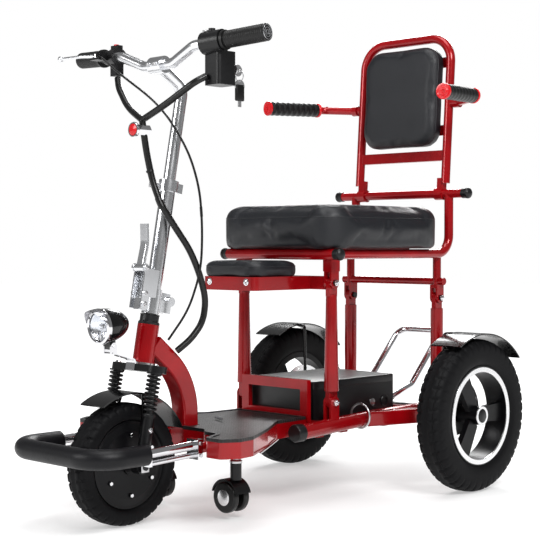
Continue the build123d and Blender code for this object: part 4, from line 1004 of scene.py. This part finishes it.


# %% [markdown]
# ## Battery lid, deck-edge highlight and rail plugs
# The battery case has a lid with a shadow gap, a charging socket and a key lock. A chrome strip paints the
# bright reflection that runs along the outer edges of the deck, and black plugs close the ends of its rails.

# %% Lid, deck-edge highlight and plugs
lid_low = behind_axle(-0.1046, -0.3462, 0.2470)
lid_high = behind_axle(0.1046, -0.0608, 0.2665)
block("battery_lid", lid_low, lid_high, 0.0035, case_plastic, "frame", 4)
turned("charge_socket", behind_axle(0.1038, -0.095, 0.205), (1, 0, 0), [
    (0.0, 0), (0.0130, 0), (0.0135, 0.002), (0.0120, 0.0035),
    (0.0085, 0.0035), (0.0080, 0.0012), (0.0, 0.0012),
], plastic, "frame", 40)
turned("lock_barrel", behind_axle(0.1038, -0.140, 0.205), (1, 0, 0), [
    (0.0, 0), (0.0085, 0), (0.0085, 0.0022), (0.0070, 0.0030), (0.0, 0.0030),
], zinc, "frame", 32)
for side, out in sides:
    # A chrome bar laid along each side of the deck skirt: a painted reflection highlight on the deck's edge.
    bar(f"deck_strip_{side}", [
        behind_axle(out * 0.2345, -0.6500, 0.1535), behind_axle(out * 0.178, -0.5620, 0.1535),
        behind_axle(out * 0.122, -0.4800, 0.1535),
    ], 0.0022, chrome, "frame")
    turned(f"rail_plug_{side}", behind_axle(out * 0.139, -0.4405, 0.164), (0, -1, 0), [
        (0.0, 0), (0.0172, 0), (0.0172, -0.018), (0.0192, -0.018),
        (0.0196, 0.002), (0.0178, 0.0055), (0.0, 0.0060),
    ], plastic, "frame", 40)
bar("step_bar", [behind_axle(-0.012, -0.538, 0.1955), behind_axle(0.022, -0.551, 0.1955)],
    0.003, chrome, "frame")
print("lid and trim ready")


# %% [markdown]
# ## Casters
# A bright cap closes the hub on each side of the small wheels, and a plated ring marks the swivel under the
# deck.

# %% Caster caps
for side, out in sides:
    hub = middle(f"caster_wheel_{side}")
    for face in (1, -1):
        turned(f"caster_hub_{side}_{face}", hub + Vector((0, face * 0.0225, 0)), (0, face, 0), [
            (0.0, 0), (0.0170, 0), (0.0170, 0.0008), (0.0120, 0.0022), (0.0, 0.0026),
        ], machined, f"caster_wheel_{side}", 40)
    turned(f"caster_ring_{side}", behind_axle(out * 0.130, -0.614, 0.1195), (0, 0, 1), [
        (0.0052, 0), (0.0135, 0), (0.0135, 0.004), (0.0090, 0.008), (0.0090, 0.030), (0.0052, 0.030),
    ], zinc, f"caster_{side}", 40)
print("casters ready")


# %% [markdown]
# ## The stage
# Soft light from big panels keeps the reflections in the lacquer long and clean, as in a studio. The floor
# glows a little more with distance, so it runs into the white behind it with no horizon line.

# %% Floor and panels
def studio_floor():
    finish = Finish("studio_floor", Roughness=0.8, Emission_Strength=1.0)
    away = finish.node("ShaderNodeVectorMath", {"operation": "LENGTH"}, {0: finish.place()}, out=1)
    horizon = finish.ramp(away * 0.25, (0.12, 0.0), (0.9, 1.0))
    finish.set("Base Color", (0.6, 0.6, 0.6))
    finish.set("Emission Color", finish.tint(horizon, (0.42, 0.42, 0.42), (0.96, 0.96, 0.96)))
    mesh = bpy.data.meshes.new("studio_floor")
    reach = 14.0
    corners = [(-reach, -reach, 0), (reach, -reach, 0), (reach, reach, 0), (-reach, reach, 0)]
    mesh.from_pydata(corners, [], [(0, 1, 2, 3)])
    mesh.materials.append(finish.material)
    floor = bpy.data.objects.new("studio_floor", mesh)
    bpy.context.scene.collection.objects.link(floor)


def panel(name, place, aim, size, power):
    """A soft light panel that faces a point."""
    light = bpy.data.lights.new(name, "AREA")
    light.shape = "RECTANGLE"
    light.size, light.size_y = size
    light.energy = power
    lamp = bpy.data.objects.new(name, light)
    lamp.location = place
    lamp.rotation_euler = (Vector(aim) - Vector(place)).to_track_quat("-Z", "Y").to_euler()
    bpy.context.scene.collection.objects.link(lamp)


studio_floor()
aim = (0.0, 0.0, 0.5)
panel("key", (2.6, -1.0, 2.6), aim, (1.4, 1.0), 95)
panel("fill", (-1.2, -3.4, 1.9), aim, (1.6, 1.2), 55)
panel("rim", (-1.6, 2.6, 2.2), aim, (1.8, 1.0), 70)
panel("top", (0.2, -0.2, 3.6), aim, (2.0, 2.0), 60)
print("lights:", len(bpy.data.lights))


# %% [markdown]
# The sky is white to the camera, but it lights the scooter far less than it shows, or the blacks would turn
# grey. A Light Path node tells the two apart.

# %% Sky
world = bpy.data.worlds.new("studio")
world.use_nodes = True
sky = world.node_tree
glow = sky.nodes["Background"]
glow.inputs["Color"].default_value = (1.0, 1.0, 1.0, 1.0)
seen = sky.nodes.new("ShaderNodeLightPath")
level = sky.nodes.new("ShaderNodeMapRange")
level.inputs["To Min"].default_value = 0.22
level.inputs["To Max"].default_value = 1.0
sky.links.new(seen.outputs["Is Camera Ray"], level.inputs["Value"])
sky.links.new(level.outputs["Result"], glow.inputs["Strength"])
bpy.context.scene.world = world
bpy.context.scene.view_settings.view_transform = "Standard"
print("sky ready")


# %% [markdown]
# The camera stands to the front left of the scooter, level with the seat. A long lens from far off keeps the
# tubes nearly parallel.

# %% Camera
lens = bpy.data.cameras.new("view")
lens.lens = 88.45
lens.sensor_width = 36.0
viewer = bpy.data.objects.new("view", lens)
viewer.location = behind_axle(2.1151, -2.5460, 0.5760)
tilt_down, pan = 1.1, 44.3
viewer.rotation_euler = (math.radians(90 - tilt_down), 0.0, math.radians(pan))
bpy.context.scene.collection.objects.link(viewer)
bpy.context.scene.camera = viewer
print("camera at", [round(v, 3) for v in viewer.location])
